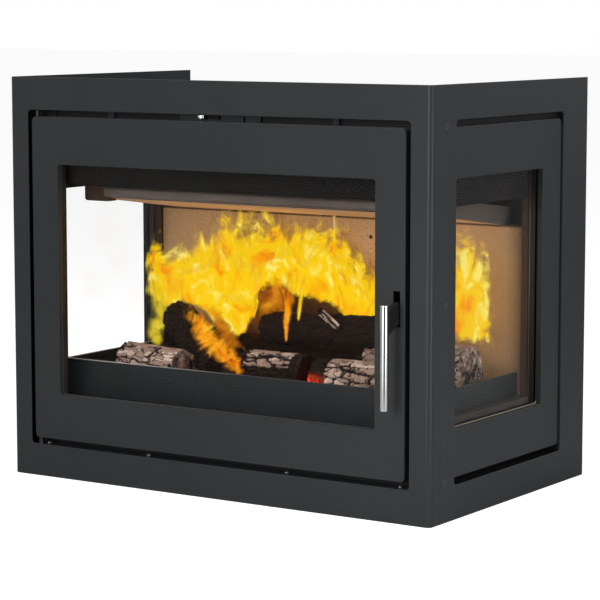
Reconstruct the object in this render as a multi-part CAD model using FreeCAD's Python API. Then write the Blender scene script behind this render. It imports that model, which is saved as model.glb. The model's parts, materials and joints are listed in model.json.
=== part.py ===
"""Three-sided wood-burning fireplace insert with a hinged glass front door.

Units are millimetres. +Z is up, +X is to the viewer's right and +Y points into the chimney.
Depths are measured from the front face of the surround, so depth 0 is the door's face.
"""
import FreeCAD, Part
import math
import os

V = FreeCAD.Vector

# Overall size of the steel surround
WIDTH = 755.0
HEIGHT = 620.0
DEPTH = 472.0
SHEET = 2.0
BEND_R = 8.0
HALF = WIDTH / 2
INNER_HALF = HALF - SHEET

# Surround openings, flange and corner joints
OPENING_HALF = 342.5
MARGIN_Z = 50.0
OPENING_R = 6.0
RETURN_DEPTH = 28.0
FLANGE_BACK = 26.0
SEAM_GAP = 0.4
SIDE_OPEN_FRONT = 68.0
SIDE_OPEN_REAR = 394.0
LAP_FRONT = 10.0
LAP_BACK = 48.0
LAP_END = 12.0
EDGE_BREAK = 0.6

# Countersunk screws in the side panels and pan-head screws in the base flange
SIDE_SCREW_DEPTH = 41.0
SIDE_SCREW_Z = (58.5, 311.0, 561.5)
SIDE_SCREW_LENGTH = 4.8
SIDE_SHANK_R = 2.2
SIDE_HEAD_R = 3.8
SIDE_HEAD_HEIGHT = 1.6
SIDE_HOLE_CLEAR = 0.1
BASE_SCREW_X = (-320.0, -126.0, 126.0, 320.0)
BASE_SCREW_DEPTH = 16.0
BASE_SHANK_R = 2.5
BASE_HOLE_R = 2.7
BASE_HEAD_R = 4.2
BASE_HEAD_HEIGHT = 2.4

# Strips that tie the surround's top margin to the firebox
BRACKET_X = 202.0
BRACKET_WIDTH = 10.5
BRACKET_LOW = 532.0
BRACKET_STEP = 596.0
BRACKET_HIGH = 614.0

# Door
DOOR_HALF = 334.5
DOOR_LOW = 60.5
DOOR_HIGH = 559.5
DOOR_R = 7.0
DOOR_DEPTH = 24.0
DOOR_SKIN = 3.0
WINDOW_HALF = 285.0
WINDOW_LOW = 131.0
WINDOW_HIGH = 487.0
WINDOW_R = 4.0
REVEAL_WALL = 2.5
LIP_DEPTH = 8.0
GLASS_FRONT = 10.0
GLASS_THICK = 4.0
GLASS_LAP = 12.0
GASKET_INSET = 2.0
GASKET_PEEK = 0.6
GASKET_RETREAT = 0.4
RING_FRONT = 21.0
RING_STEP = 5.0
ROPE_BACK = 29.7
ROPE_WIDTH = 10.0
ROPE_HALF = 311.0
ROPE_LOW = 107.0
ROPE_HIGH = 511.0
ROPE_R = 14.0

# Door hinge, on the left edge
HINGE_X = -328.5
HINGE_DEPTH = 7.0
PIN_R = 3.0
RUN_CLEAR = 0.05
PIN_HOLE_CLEAR = 0.4
TAB_LEFT = -343.0
TAB_RIGHT = -314.0
TAB_FRONT = 2.5
TAB_LOW = 38.0
ARM_LOW = 571.5
ARM_HIGH = 576.0
LEG_HIGH = 596.0
EAR_RIGHT = -310.0
EAR_HIGH = 598.0
UPPER_PIN_LOW = 538.0
LOWER_PIN_HIGH = 82.0
PIN_HEAD_R = 5.0
PIN_HEAD_HEIGHT = 3.0
SHOULDER_R = 4.5
SHOULDER_GAP = 0.3
BLOCK_RIGHT = -316.0
BLOCK_BACK = 16.0
BLOCK_HEIGHT = 25.0

# Handle: a lever through a slot in the door, carrying an upright bar
LEVER_X = 320.75
LEVER_THICK = 8.0
SLOT_WIDTH = 11.5
SLOT_LOW = 281.0
SLOT_HIGH = 331.5
PIVOT_DEPTH = 16.0
PIVOT_Z = 300.0
PIVOT_R = 4.0
BAR_R = 6.0
BAR_REACH = 32.0
BAR_LOW = 166.0
BAR_HIGH = 315.0
BAR_CHAMFER = 0.8
GROOVE_DROP = 4.0
GROOVE_WIDTH = 1.0
GROOVE_CUT = 0.5
STIRRUP_HALF = 9.75
STIRRUP_WALL = 3.0
STIRRUP_LOW = 286.0
STIRRUP_HIGH = 340.0
STIRRUP_TOP = 6.0
HANDLE_REACH = BAR_REACH + BAR_R

# Latch: the lever's tongue and the pin that it passes under
TONGUE_BACK = 42.0
TONGUE_HALF = 4.0
LATCH_SLOT_HALF = 7.0
LATCH_SLOT_LOW = 282.0
LATCH_SLOT_HIGH = 312.0
RING_SLOT_HIGH = 314.0
CATCH_HALF = 11.0
CATCH_WALL = 3.5
CATCH_LOW = 296.0
CATCH_HIGH = 324.0
CATCH_TOP = 4.0
CATCH_REACH = 14.0
CATCH_PIN_REACH = 5.0
CATCH_PIN_Z = 308.4

# Firebox body
BODY_HALF = 372.0
PLATE = 4.0
BASE_TOP = 48.0
BODY_TOP = 555.0
FRONT_PLATE = 30.0
POST_INNER = 345.0
POST_WALL = 3.0
POST_BACK = 58.0
FIRE_HALF = 295.0
FIRE_LOW = 118.0
FIRE_HIGH = 500.0
REAR_POST = 391.0
BACK_PLATE = 430.0
RIB_X = 230.0
RIB_HALF = 14.0
RIB_RISE = 8.0
RIB_LOW = 150.0
RIB_HIGH = 500.0
RIB_R = 6.0
FLOOR_Z = 116.0
FLOOR_INNER = 100.0

# Levelling feet
FOOT_X = 315.0
FOOT_DEPTHS = (75.0, 395.0)
PAD_R = 22.0
PAD_TOP_R = 15.0
PAD_HEIGHT = 8.0
STEM_R = 7.0
NUT_R = 13.0
NUT_LOW = 32.0

# Flue and combustion-air collars
FLUE_DEPTH = 240.0
FLUE_R = 75.0
FLUE_WALL = 3.0
FLUE_TOP = 604.0
FLUE_FLANGE = 20.0
FLUE_BEAD = 2.0
INLET_R = 50.0
INLET_Z = 82.0
INLET_BACK = 466.0
INLET_FLANGE = 14.0
INLET_BEAD = 1.5

# Hearth, grate and linings
HEARTH_Z = 140.0
HEARTH_FRONT = 80.0
GRATE_HALF = 112.0
GRATE_FRONT = 82.0
GRATE_REAR = 340.0
GRATE_DROP = 4.0
GRATE_CLEAR = 0.5
GRATE_SLOTS = 11
GRATE_PITCH = 18.0
GRATE_SLOT = 9.0
GRATE_RIM = 22.0
LINING_FRONT = 341.0
LINING_BACK = 366.0
LINING_HALF = 337.5
LINING_TOP = 398.0
LINING_SEAM = 0.8
CORNER_SETBACK = 2.0

# Fixed side windows, built up like the door's
SIDE_FACE = 375.0
SIDE_SKIN = 3.0
SIDE_FRAME_FRONT = 50.0
SIDE_FRAME_REAR = 390.0
SIDE_WIN_FRONT = 72.0
SIDE_WIN_REAR = 334.0
SIDE_WALL = 352.0
SIDE_RETREAT = 1.0

# Baffle, log guard and air deflectors
BAFFLE_HALF = 303.0
BAFFLE_FRONT = 98.0
BAFFLE_FRONT_Z = 431.0
BAFFLE_THICK = 26.0
RAIL_HALF = 258.0
RAIL_FRONT = 80.0
RAIL_LOW = 434.0
RAIL_HEIGHT = 16.0
RAIL_R = 6.0
HANGER_THICK = 8.0
HANGER_REACH = 14.0
HANGER_DROP = 5.0
HANGER_R = 5.0
GUARD_HALF = 335.0
GUARD_FRONT = 76.0
GUARD_REAR = 330.0
GUARD_TOP = 176.5
GUARD_SHEET = 3.0
GUARD_R = 9.0
DEFLECTOR_LOW = 443.0
DEFLECTOR_GAP = 6.0
FRONT_DEFLECTOR_LOW = 454.0

# Air control in the gap above the door
GUIDE_LEFT = -72.0
GUIDE_SPLIT = 42.0
GUIDE_GAP = 3.5
GUIDE_RIGHT = 72.0
GUIDE_LOW = 535.0
GUIDE_HIGH = 575.0
AIR_SLOT_LEFT = -42.0
AIR_SLOT_RIGHT = 3.0
AIR_SLOT_Z = 565.0
AIR_SLOT_HEIGHT = 7.0
SHUTTER_LEFT = -62.0
SHUTTER_RIGHT = -4.0
SHUTTER_HIGH = 574.0
SHUTTER_GAP = 0.5
SHUTTER_CLEAR = 0.3
STEM_HALF = 2.5
STEM_FRONT = 24.0
KNOB_X = -30.0
KNOB_R = 6.0
KNOB_DEPTH = 23.5
KNOB_CLEAR = 0.4
KNOB_CHAMFER = 0.8

# Firewood: the two ends of each log as (x, depth, z), its radius, its taper and a seed for its outline
LOG_SIDES = 9
LOG_SHARES = (0.0, 0.35, 0.7, 1.0)
LOGS = (
    ((-254, 132, HEARTH_Z + 32.0), (-132, 115, HEARTH_Z + 32.0), 33, 0.05, 0.4),
    ((-50, 128, HEARTH_Z + 33.6), (80, 140, HEARTH_Z + 33.6), 38, 0.04, 1.7),
    ((110, 124, HEARTH_Z + 32.8), (285, 138, HEARTH_Z + 32.8), 37, 0.05, 2.9),
    ((-285, 285, HEARTH_Z + 37.6), (120, 295, HEARTH_Z + 37.6), 40, 0.06, 4.1),
    ((150, 226, HEARTH_Z + 46.0), (316, 218, HEARTH_Z + 46.0), 47, 0.04, 5.0),
    ((-240, 248, 229.9), (-92, 156, 168.2), 32, 0.05, 5.2),
    ((-60, 250, 226.1), (240, 150, 249.2), 28, 0.06, 6.6),
)

# The frame's origin lies under the middle of the whole box, bar included
BOX_MID = (DEPTH - HANDLE_REACH) / 2
BIG = 2000.0
TINY = 1e-6


def y_at(depth):
    """Y of a depth behind the surround's front face."""
    return depth - BOX_MID


def box(x0, x1, d0, d1, z0, z1):
    """Block between two x, two depths and two heights."""
    return Part.makeBox(x1 - x0, d1 - d0, z1 - z0, V(x0, y_at(d0), z0))


def rod_x(x0, x1, depth, z, r):
    """Cylinder along X."""
    return Part.makeCylinder(r, x1 - x0, V(x0, y_at(depth), z), V(1, 0, 0))


def rod_y(x, d0, d1, z, r):
    """Cylinder along Y."""
    return Part.makeCylinder(r, d1 - d0, V(x, y_at(d0), z), V(0, 1, 0))


def rod_z(x, depth, z0, z1, r):
    """Cylinder along Z."""
    return Part.makeCylinder(r, z1 - z0, V(x, y_at(depth), z0), V(0, 0, 1))


def hole_z(x, depth, r):
    """Cutter for an upright hole at any height."""
    return rod_z(x, depth, 0, BIG, r)


def hole_x(depth, z, r):
    """Cutter for a cross hole on the right-hand side."""
    return rod_x(0, BIG, depth, z, r)


def rounded(shape, radius, direction):
    """Round the edges of a block that run along one direction."""
    edges = []
    for edge in shape.Edges:
        start, end = (vertex.Point for vertex in edge.Vertexes)
        if (end - start).normalize().cross(direction).Length < TINY:
            edges.append(edge)
    return shape.makeFillet(radius, edges)


def front_uprights(shape, depth):
    """Upright edges of a shape that stand at one depth."""
    return [e for e in shape.Edges if e.BoundBox.ZLength > 1 and e.BoundBox.XLength < TINY
            and e.BoundBox.YLength < TINY and abs(e.BoundBox.YMin - y_at(depth)) < TINY]


def panel_y(half, low, high, d0, d1, radius=0.0):
    """Upright panel facing the front, centred on x 0, with rounded corners."""
    panel = box(-half, half, d0, d1, low, high)
    return rounded(panel, radius, V(0, 1, 0)) if radius else panel


def panel_x(side, x0, x1, d0, d1, low, high, radius=0.0):
    """Upright panel facing a side, on the right for side 1 and on the left for side -1."""
    left, right = sorted((side * x0, side * x1))
    panel = box(left, right, d0, d1, low, high)
    return rounded(panel, radius, V(1, 0, 0)) if radius else panel


def side_opening(side, x0, x1, grow=0.0, radius=WINDOW_R):
    """Block of a side window's outline, grown all round by some millimetres."""
    return panel_x(side, x0, x1, SIDE_WIN_FRONT - grow, SIDE_WIN_REAR + grow,
                   WINDOW_LOW - grow, WINDOW_HIGH + grow, radius)


def door_opening(d0, d1, grow=0.0, radius=WINDOW_R):
    """Block of the door window's outline, grown all round by some millimetres."""
    return panel_y(WINDOW_HALF + grow, WINDOW_LOW - grow, WINDOW_HIGH + grow, d0, d1, radius)


def extruded(points, x0, x1):
    """Prism along X of a profile given as (depth, z) points."""
    corners = [V(x0, y_at(depth), z) for depth, z in points]
    face = Part.Face(Part.makePolygon(corners + corners[:1]))
    return face.extrude(V(x1 - x0, 0, 0))


def break_edges(shape, axis, value, size=EDGE_BREAK):
    """Chamfer every edge that lies in the plane where x (axis 0) or y (axis 1) has a value."""
    edges = []
    for edge in shape.Edges:
        bounds = edge.BoundBox
        low, high = ((bounds.XMin, bounds.XMax), (bounds.YMin, bounds.YMax))[axis]
        if abs(low - value) < 1e-4 and abs(high - value) < 1e-4:
            edges.append(edge)
    return shape.makeChamfer(size, edges)


def both_sides(shape):
    """A right-hand piece together with its mirror image on the left."""
    return Part.makeCompound([shape, shape.mirror(V(0, 0, 0), V(1, 0, 0))])


def surround_front():
    """Front panel, bent back at both corners, with a fixing flange under the door."""
    outer = box(-HALF, HALF, 0, RETURN_DEPTH, 0, HEIGHT)
    outer = outer.makeFillet(BEND_R, front_uprights(outer, 0))
    inner = box(-INNER_HALF, INNER_HALF, SHEET, BIG, -1, HEIGHT + 1)
    inner = inner.makeFillet(BEND_R - SHEET, front_uprights(inner, SHEET))
    opening = panel_y(OPENING_HALF, MARGIN_Z, HEIGHT - MARGIN_Z, -1, SHEET + 1, OPENING_R)
    panel = break_edges(outer.cut(inner).cut(opening), 1, y_at(0))
    flange_half = OPENING_HALF - OPENING_R
    flange = box(-flange_half, flange_half, SHEET, FLANGE_BACK, MARGIN_Z - SHEET, MARGIN_Z)
    flange = flange.cut(hole_z(HINGE_X, HINGE_DEPTH, PIN_R + PIN_HOLE_CLEAR / 2))
    for x in BASE_SCREW_X:
        flange = flange.cut(hole_z(x, BASE_SCREW_DEPTH, BASE_HOLE_R))
    return panel.fuse(flange).removeSplitter()


def surround_side(side):
    """Flat side panel with its window opening and countersunk screw holes."""
    panel = panel_x(side, INNER_HALF, HALF, RETURN_DEPTH + SEAM_GAP, DEPTH, 0, HEIGHT)
    opening = panel_x(side, INNER_HALF - 1, HALF + 1, SIDE_OPEN_FRONT, SIDE_OPEN_REAR,
                      MARGIN_Z, HEIGHT - MARGIN_Z, OPENING_R)
    panel = break_edges(panel.cut(opening), 0, side * HALF)
    for z in SIDE_SCREW_Z:
        panel = panel.cut(side_screw(side, z, SIDE_HOLE_CLEAR))
    return panel


def side_screw(side, z, extra=0.0):
    """Countersunk screw through the side panel, or its hole when extra room is asked for."""
    place = V(side * HALF, y_at(SIDE_SCREW_DEPTH), z)
    inward = V(-side, 0, 0)
    head = Part.makeCone(SIDE_HEAD_R + extra, SIDE_SHANK_R + extra, SIDE_HEAD_HEIGHT, place, inward)
    shank = Part.makeCylinder(SIDE_SHANK_R + extra, SIDE_SCREW_LENGTH, place, inward)
    return head.fuse(shank).removeSplitter()


def surround_lap(side):
    """Strip behind the corner joint, which the side panel is screwed to."""
    strip = panel_x(side, INNER_HALF - SHEET, INNER_HALF, LAP_FRONT, LAP_BACK, LAP_END, HEIGHT - LAP_END)
    for z in SIDE_SCREW_Z:
        strip = strip.cut(side_screw(side, z, SIDE_HOLE_CLEAR))
    return strip


def base_screw(x):
    """Pan-head screw that holds the surround's flange to the base plate."""
    top = MARGIN_Z + BASE_HEAD_HEIGHT
    head = rod_z(x, BASE_SCREW_DEPTH, MARGIN_Z, top, BASE_HEAD_R)
    shank = rod_z(x, BASE_SCREW_DEPTH, TAB_LOW, MARGIN_Z, BASE_SHANK_R)
    return head.fuse(shank).removeSplitter()


def surround_bracket():
    """Bent strip that ties the surround's top margin to the firebox front."""
    x0 = BRACKET_X - BRACKET_WIDTH / 2
    x1 = BRACKET_X + BRACKET_WIDTH / 2
    lower = box(x0, x1, FRONT_PLATE - SHEET, FRONT_PLATE, BRACKET_LOW, BRACKET_STEP)
    bridge = box(x0, x1, SHEET, FRONT_PLATE, BRACKET_STEP - SHEET, BRACKET_STEP)
    upper = box(x0, x1, SHEET, 2 * SHEET, BRACKET_STEP - SHEET, BRACKET_HIGH)
    return lower.fuse([bridge, upper]).removeSplitter()


def base_plate():
    """Base plate, with a narrower lip that reaches under the surround's flange."""
    low = BASE_TOP - PLATE
    plate = box(-BODY_HALF, BODY_HALF, FRONT_PLATE + PLATE, BACK_PLATE + PLATE, low, BASE_TOP)
    lip = box(-POST_INNER, POST_INNER, TAB_FRONT, FRONT_PLATE + PLATE, low, BASE_TOP)
    plate = plate.fuse(lip).removeSplitter().cut(hole_z(HINGE_X, HINGE_DEPTH, PIN_R))
    for x in BASE_SCREW_X:
        plate = plate.cut(hole_z(x, BASE_SCREW_DEPTH, BASE_SHANK_R))
    return plate


def levelling_foot(x, depth):
    """Adjustable foot: a coned pad, a hexagonal lock nut and a stem up to the base plate."""
    top = BASE_TOP - PLATE
    pad = Part.makeCone(PAD_R, PAD_TOP_R, PAD_HEIGHT, V(x, y_at(depth), 0))
    stem = rod_z(x, depth, PAD_HEIGHT, top, STEM_R)
    corners = []
    for k in range(7):
        turn = math.radians(60 * k)
        corners.append(V(x + NUT_R * math.cos(turn), y_at(depth) + NUT_R * math.sin(turn), NUT_LOW))
    nut = Part.Face(Part.makePolygon(corners)).extrude(V(0, 0, top - NUT_LOW))
    return pad.fuse([stem, nut]).removeSplitter()


def front_plate():
    """Firebox front with the loading opening, the latch slot and the hinge ear."""
    back = FRONT_PLATE + PLATE
    plate = box(-BODY_HALF, BODY_HALF, FRONT_PLATE, back, BASE_TOP, BODY_TOP)
    ear = box(-POST_INNER, EAR_RIGHT, FRONT_PLATE, back, BODY_TOP, EAR_HIGH)
    mouth = box(-FIRE_HALF, FIRE_HALF, FRONT_PLATE - 1, back + 1, FIRE_LOW, FIRE_HIGH)
    return plate.fuse(ear).removeSplitter().cut(mouth).cut(latch_slot(LATCH_SLOT_HIGH))


def latch_slot(high):
    """Cutter for the slot that the latch tongue passes through."""
    return box(LEVER_X - LATCH_SLOT_HALF, LEVER_X + LATCH_SLOT_HALF, RING_FRONT - 1, FRONT_PLATE + PLATE + 1,
               LATCH_SLOT_LOW, high)


def top_plate():
    """Roof of the firebox with the flue opening."""
    plate = box(-BODY_HALF, BODY_HALF, FRONT_PLATE + PLATE, BACK_PLATE, BODY_TOP - PLATE, BODY_TOP)
    return plate.cut(hole_z(0, FLUE_DEPTH, FLUE_R - FLUE_WALL))


def collar(base, axis, radius, length, flange, bead):
    """Pipe collar with a bolting flange and a rolled stop bead."""
    tube = Part.makeCylinder(radius, length, base, axis)
    rim = Part.makeCylinder(radius + flange, PLATE, base, axis)
    rise = Part.makeCone(radius, radius + bead, bead, base + axis * PLATE, axis)
    fall = Part.makeCone(radius + bead, radius, bead, base + axis * (PLATE + bead), axis)
    return tube.fuse([rim, rise, fall]).cut(Part.makeCylinder(radius - FLUE_WALL, length, base, axis))


def flue_collar():
    """Upright collar for the flue pipe."""
    base = V(0, y_at(FLUE_DEPTH), BODY_TOP)
    return collar(base, V(0, 0, 1), FLUE_R, FLUE_TOP - BODY_TOP, FLUE_FLANGE, FLUE_BEAD)


def air_inlet_collar():
    """Collar on the back for the combustion-air duct."""
    back = BACK_PLATE + PLATE
    return collar(V(0, y_at(back), INLET_Z), V(0, 1, 0), INLET_R, INLET_BACK - back, INLET_FLANGE, INLET_BEAD)


def back_plate():
    """Outer back with the combustion-air hole and two stiffening ribs."""
    back = BACK_PLATE + PLATE
    plate = box(-BODY_HALF, BODY_HALF, BACK_PLATE, back, BASE_TOP, BODY_TOP)
    for x in (-RIB_X, RIB_X):
        rib = box(x - RIB_HALF, x + RIB_HALF, back, back + RIB_RISE, RIB_LOW, RIB_HIGH)
        plate = plate.fuse(rounded(rib, RIB_R, V(0, 1, 0)))
    return plate.removeSplitter().cut(rod_y(0, BACK_PLATE - 1, back + 1, INLET_Z, INLET_R - FLUE_WALL))


def post(x0, x1, d0, d1):
    """Upright box-section post of the firebox body."""
    outer = box(x0, x1, d0, d1, BASE_TOP, BODY_TOP - PLATE)
    return outer.cut(box(x0 + POST_WALL, x1 - POST_WALL, d0 + POST_WALL, d1 - POST_WALL, 0, HEIGHT))


def inner_back_plate():
    """Steel sheet behind the linings."""
    return box(-SIDE_WALL, SIDE_WALL, LINING_BACK, LINING_BACK + SIDE_SKIN, FLOOR_Z, BODY_TOP - PLATE)


def floor_plate():
    """Right half of the steel floor under the hearth."""
    return box(FLOOR_INNER, SIDE_WALL + REVEAL_WALL, POST_BACK, REAR_POST, FLOOR_Z - PLATE, FLOOR_Z)


def floor_support(depth):
    """Cross rail that carries the floor on the base plate."""
    return box(-POST_INNER, POST_INNER, depth, depth + PLATE, BASE_TOP, FLOOR_Z - PLATE)


def hearth_slab(side):
    """Floor lining on one side of the grate."""
    return panel_x(side, GRATE_HALF + GRATE_CLEAR, SIDE_WALL, HEARTH_FRONT, LINING_BACK, FLOOR_Z, HEARTH_Z)


def fire_grate():
    """Cast grate with parallel slots."""
    grate = box(-GRATE_HALF, GRATE_HALF, GRATE_FRONT, GRATE_REAR, FLOOR_Z, HEARTH_Z - GRATE_DROP)
    for k in range(GRATE_SLOTS):
        x = GRATE_PITCH * (k - (GRATE_SLOTS - 1) / 2)
        slot = box(x - GRATE_SLOT / 2, x + GRATE_SLOT / 2, GRATE_FRONT + GRATE_RIM, GRATE_REAR - GRATE_RIM,
                   0, HEIGHT)
        grate = grate.cut(slot)
    return grate


def back_lining(side):
    """One half of the back lining; the two meet at a seam in the middle."""
    return panel_x(side, LINING_SEAM / 2, LINING_HALF, LINING_FRONT, LINING_BACK, HEARTH_Z, LINING_TOP)


def corner_lining():
    """Steel cover of the right rear corner, behind the side window."""
    front = SIDE_WIN_REAR + CORNER_SETBACK
    return box(LINING_HALF, SIDE_WALL, front, LINING_BACK, HEARTH_Z, BODY_TOP - PLATE)


def side_wall(side):
    """Inner side wall of the firebox with a return round the window."""
    plate = panel_x(side, SIDE_WALL, SIDE_WALL + REVEAL_WALL, POST_BACK, REAR_POST, FLOOR_Z, BODY_TOP - PLATE)
    tube = side_opening(side, SIDE_WALL, SIDE_FACE - GLASS_FRONT - GLASS_THICK, REVEAL_WALL)
    return plate.fuse(tube).cut(side_opening(side, SIDE_WALL - 1, SIDE_FACE)).removeSplitter()


def side_frame(side):
    """Outer frame of a fixed side window with a folded lip that backs the gasket."""
    inner = SIDE_FACE - SIDE_SKIN
    face = panel_x(side, inner, SIDE_FACE, SIDE_FRAME_FRONT, SIDE_FRAME_REAR, DOOR_LOW, DOOR_HIGH, DOOR_R)
    lip = side_opening(side, SIDE_FACE - LIP_DEPTH, inner, REVEAL_WALL)
    frame = face.fuse(lip).cut(side_opening(side, SIDE_WALL, SIDE_FACE + 1)).removeSplitter()
    return break_edges(frame, 0, side * SIDE_FACE)


def side_gasket(side):
    """Flat glass-fibre gasket between a side frame's lip and its glass."""
    ring = side_opening(side, SIDE_FACE - GLASS_FRONT, SIDE_FACE - LIP_DEPTH, GLASS_LAP - GASKET_INSET, 0)
    hole = panel_x(side, SIDE_WALL, SIDE_FACE, SIDE_WIN_FRONT - SIDE_RETREAT, SIDE_WIN_REAR + SIDE_RETREAT,
                   WINDOW_LOW + GASKET_PEEK, WINDOW_HIGH + SIDE_RETREAT, WINDOW_R)
    return ring.cut(hole)


def side_glass(side):
    """Ceramic glass pane of a side window."""
    outer = SIDE_FACE - GLASS_FRONT
    return side_opening(side, outer - GLASS_THICK, outer, GLASS_LAP, 0)


def baffle():
    """Smoke baffle, resting on the back lining and rising towards the front."""
    rear_z = LINING_TOP
    profile = [(BAFFLE_FRONT, BAFFLE_FRONT_Z), (LINING_FRONT, rear_z), (LINING_BACK, rear_z),
               (LINING_BACK, rear_z + BAFFLE_THICK), (BAFFLE_FRONT, BAFFLE_FRONT_Z + BAFFLE_THICK)]
    return extruded(profile, -BAFFLE_HALF, BAFFLE_HALF)


def baffle_rail():
    """Rounded steel nosing across the baffle's front edge, between the hangers."""
    rail = box(-RAIL_HALF, RAIL_HALF, RAIL_FRONT, BAFFLE_FRONT, RAIL_LOW, RAIL_LOW + RAIL_HEIGHT)
    front = [e for e in rail.Edges if e.BoundBox.XLength > RAIL_HALF
             and abs(e.BoundBox.YMax - y_at(RAIL_FRONT)) < TINY]
    return rail.makeFillet(RAIL_R, front)


def baffle_bracket():
    """Hanger from the roof that hooks under the right front corner of the baffle."""
    low = BAFFLE_FRONT_Z - HANGER_DROP
    front = BAFFLE_FRONT - HANGER_THICK
    strap = box(RAIL_HALF, BAFFLE_HALF, front, BAFFLE_FRONT, low, BODY_TOP - PLATE)
    hook = box(RAIL_HALF, BAFFLE_HALF, front, BAFFLE_FRONT + HANGER_REACH, low, BAFFLE_FRONT_Z)
    hanger = strap.fuse(hook).removeSplitter()
    corner = [e for e in hanger.Edges if e.BoundBox.YLength > HANGER_THICK and e.BoundBox.ZMax < low + TINY
              and e.BoundBox.XMin > BAFFLE_HALF - TINY]
    return hanger.makeFillet(HANGER_R, corner).cut(baffle())


def side_air_deflector():
    """Sheet hung inside the right side window's top edge to turn the air down the glass."""
    outer = SIDE_WALL - DEFLECTOR_GAP
    return box(outer - SHEET, outer, POST_BACK + PLATE, SIDE_WIN_REAR, DEFLECTOR_LOW, BODY_TOP - PLATE)


def front_air_deflector():
    """Sheet hung behind the firebox front to turn the air down the door's glass."""
    half = POST_INNER - PLATE
    front = FRONT_PLATE + PLATE + DEFLECTOR_GAP
    return box(-half, half, front, front + SHEET, FRONT_DEFLECTOR_LOW, BODY_TOP - PLATE)


def log_guard():
    """Low bent rail round three sides of the fire bed, with an apron in front of the hearth."""
    outer = box(-GUARD_HALF, GUARD_HALF, GUARD_FRONT, GUARD_REAR, HEARTH_Z, GUARD_TOP)
    outer = outer.makeFillet(GUARD_R, front_uprights(outer, GUARD_FRONT))
    inner_half = GUARD_HALF - GUARD_SHEET
    inner_front = GUARD_FRONT + GUARD_SHEET
    inner = box(-inner_half, inner_half, inner_front, BIG, 0, BIG)
    rail = outer.cut(inner.makeFillet(GUARD_R - GUARD_SHEET, front_uprights(inner, inner_front)))
    flat_half = GUARD_HALF - GUARD_R
    apron = box(-flat_half, flat_half, GUARD_FRONT, inner_front, FLOOR_Z, HEARTH_Z)
    return rail.fuse(apron).removeSplitter()


def hinge_bracket_upper():
    """Angle bracket on the firebox ear that holds the upper hinge pin."""
    arm = box(TAB_LEFT, TAB_RIGHT, TAB_FRONT, FRONT_PLATE, ARM_LOW, ARM_HIGH)
    leg = box(TAB_LEFT, TAB_RIGHT, FRONT_PLATE - PLATE, FRONT_PLATE, ARM_LOW, LEG_HIGH)
    return arm.fuse(leg).removeSplitter().cut(hole_z(HINGE_X, HINGE_DEPTH, PIN_R))


def hinge_bracket_lower():
    """Thick tab under the base plate that holds the lower hinge pin."""
    tab = box(TAB_LEFT, TAB_RIGHT, TAB_FRONT, FRONT_PLATE, TAB_LOW, BASE_TOP - PLATE)
    tab = tab.cut(hole_z(BASE_SCREW_X[0], BASE_SCREW_DEPTH, BASE_SHANK_R))
    return tab.cut(hole_z(HINGE_X, HINGE_DEPTH, PIN_R))


def hinge_pin_upper():
    """Headed pin that hangs through the upper bracket into the door."""
    pin = rod_z(HINGE_X, HINGE_DEPTH, UPPER_PIN_LOW, ARM_HIGH, PIN_R)
    head = rod_z(HINGE_X, HINGE_DEPTH, ARM_HIGH, ARM_HIGH + PIN_HEAD_HEIGHT, PIN_HEAD_R)
    return pin.fuse(head).removeSplitter()


def hinge_pin_lower():
    """Shouldered pin that carries the door's weight."""
    pin = rod_z(HINGE_X, HINGE_DEPTH, TAB_LOW, LOWER_PIN_HIGH, PIN_R)
    shoulder = rod_z(HINGE_X, HINGE_DEPTH, MARGIN_Z, DOOR_LOW - SHOULDER_GAP, SHOULDER_R)
    return pin.fuse(shoulder).removeSplitter()


def hinge_block(low):
    """Block inside a corner of the door, bored for the hinge pin."""
    block = box(-DOOR_HALF + DOOR_SKIN, BLOCK_RIGHT, DOOR_SKIN, BLOCK_BACK, low, low + BLOCK_HEIGHT)
    block = rounded(block, DOOR_R - DOOR_SKIN, V(0, 1, 0))
    return block.cut(hole_z(HINGE_X, HINGE_DEPTH, PIN_R + RUN_CLEAR))


def door_frame():
    """Pressed door: a flat face, folded outer walls and a folded lip round the window."""
    shell = panel_y(DOOR_HALF, DOOR_LOW, DOOR_HIGH, 0, DOOR_DEPTH, DOOR_R)
    hollow = panel_y(DOOR_HALF - DOOR_SKIN, DOOR_LOW + DOOR_SKIN, DOOR_HIGH - DOOR_SKIN,
                     DOOR_SKIN, DOOR_DEPTH + 1, DOOR_R - DOOR_SKIN)
    lip = door_opening(DOOR_SKIN, LIP_DEPTH, REVEAL_WALL, WINDOW_R + 2)
    slot = box(LEVER_X - SLOT_WIDTH / 2, LEVER_X + SLOT_WIDTH / 2, -1, DOOR_SKIN + 1, SLOT_LOW, SLOT_HIGH)
    frame = shell.cut(hollow).fuse(lip).cut(door_opening(-1, DOOR_DEPTH)).cut(slot).removeSplitter()
    return break_edges(frame, 1, y_at(0)).cut(hole_z(HINGE_X, HINGE_DEPTH, PIN_R + PIN_HOLE_CLEAR))


def door_glass():
    """Ceramic glass pane of the door."""
    return door_opening(GLASS_FRONT, GLASS_FRONT + GLASS_THICK, GLASS_LAP, 0)


def door_gasket():
    """Flat glass-fibre gasket between the door's lip and its glass."""
    ring = door_opening(LIP_DEPTH, GLASS_FRONT, GLASS_LAP - GASKET_INSET, 0)
    hole = panel_y(WINDOW_HALF + GASKET_RETREAT, WINDOW_LOW + GASKET_PEEK, WINDOW_HIGH + GASKET_RETREAT,
                   0, DOOR_DEPTH, WINDOW_R)
    return ring.cut(hole)


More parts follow.
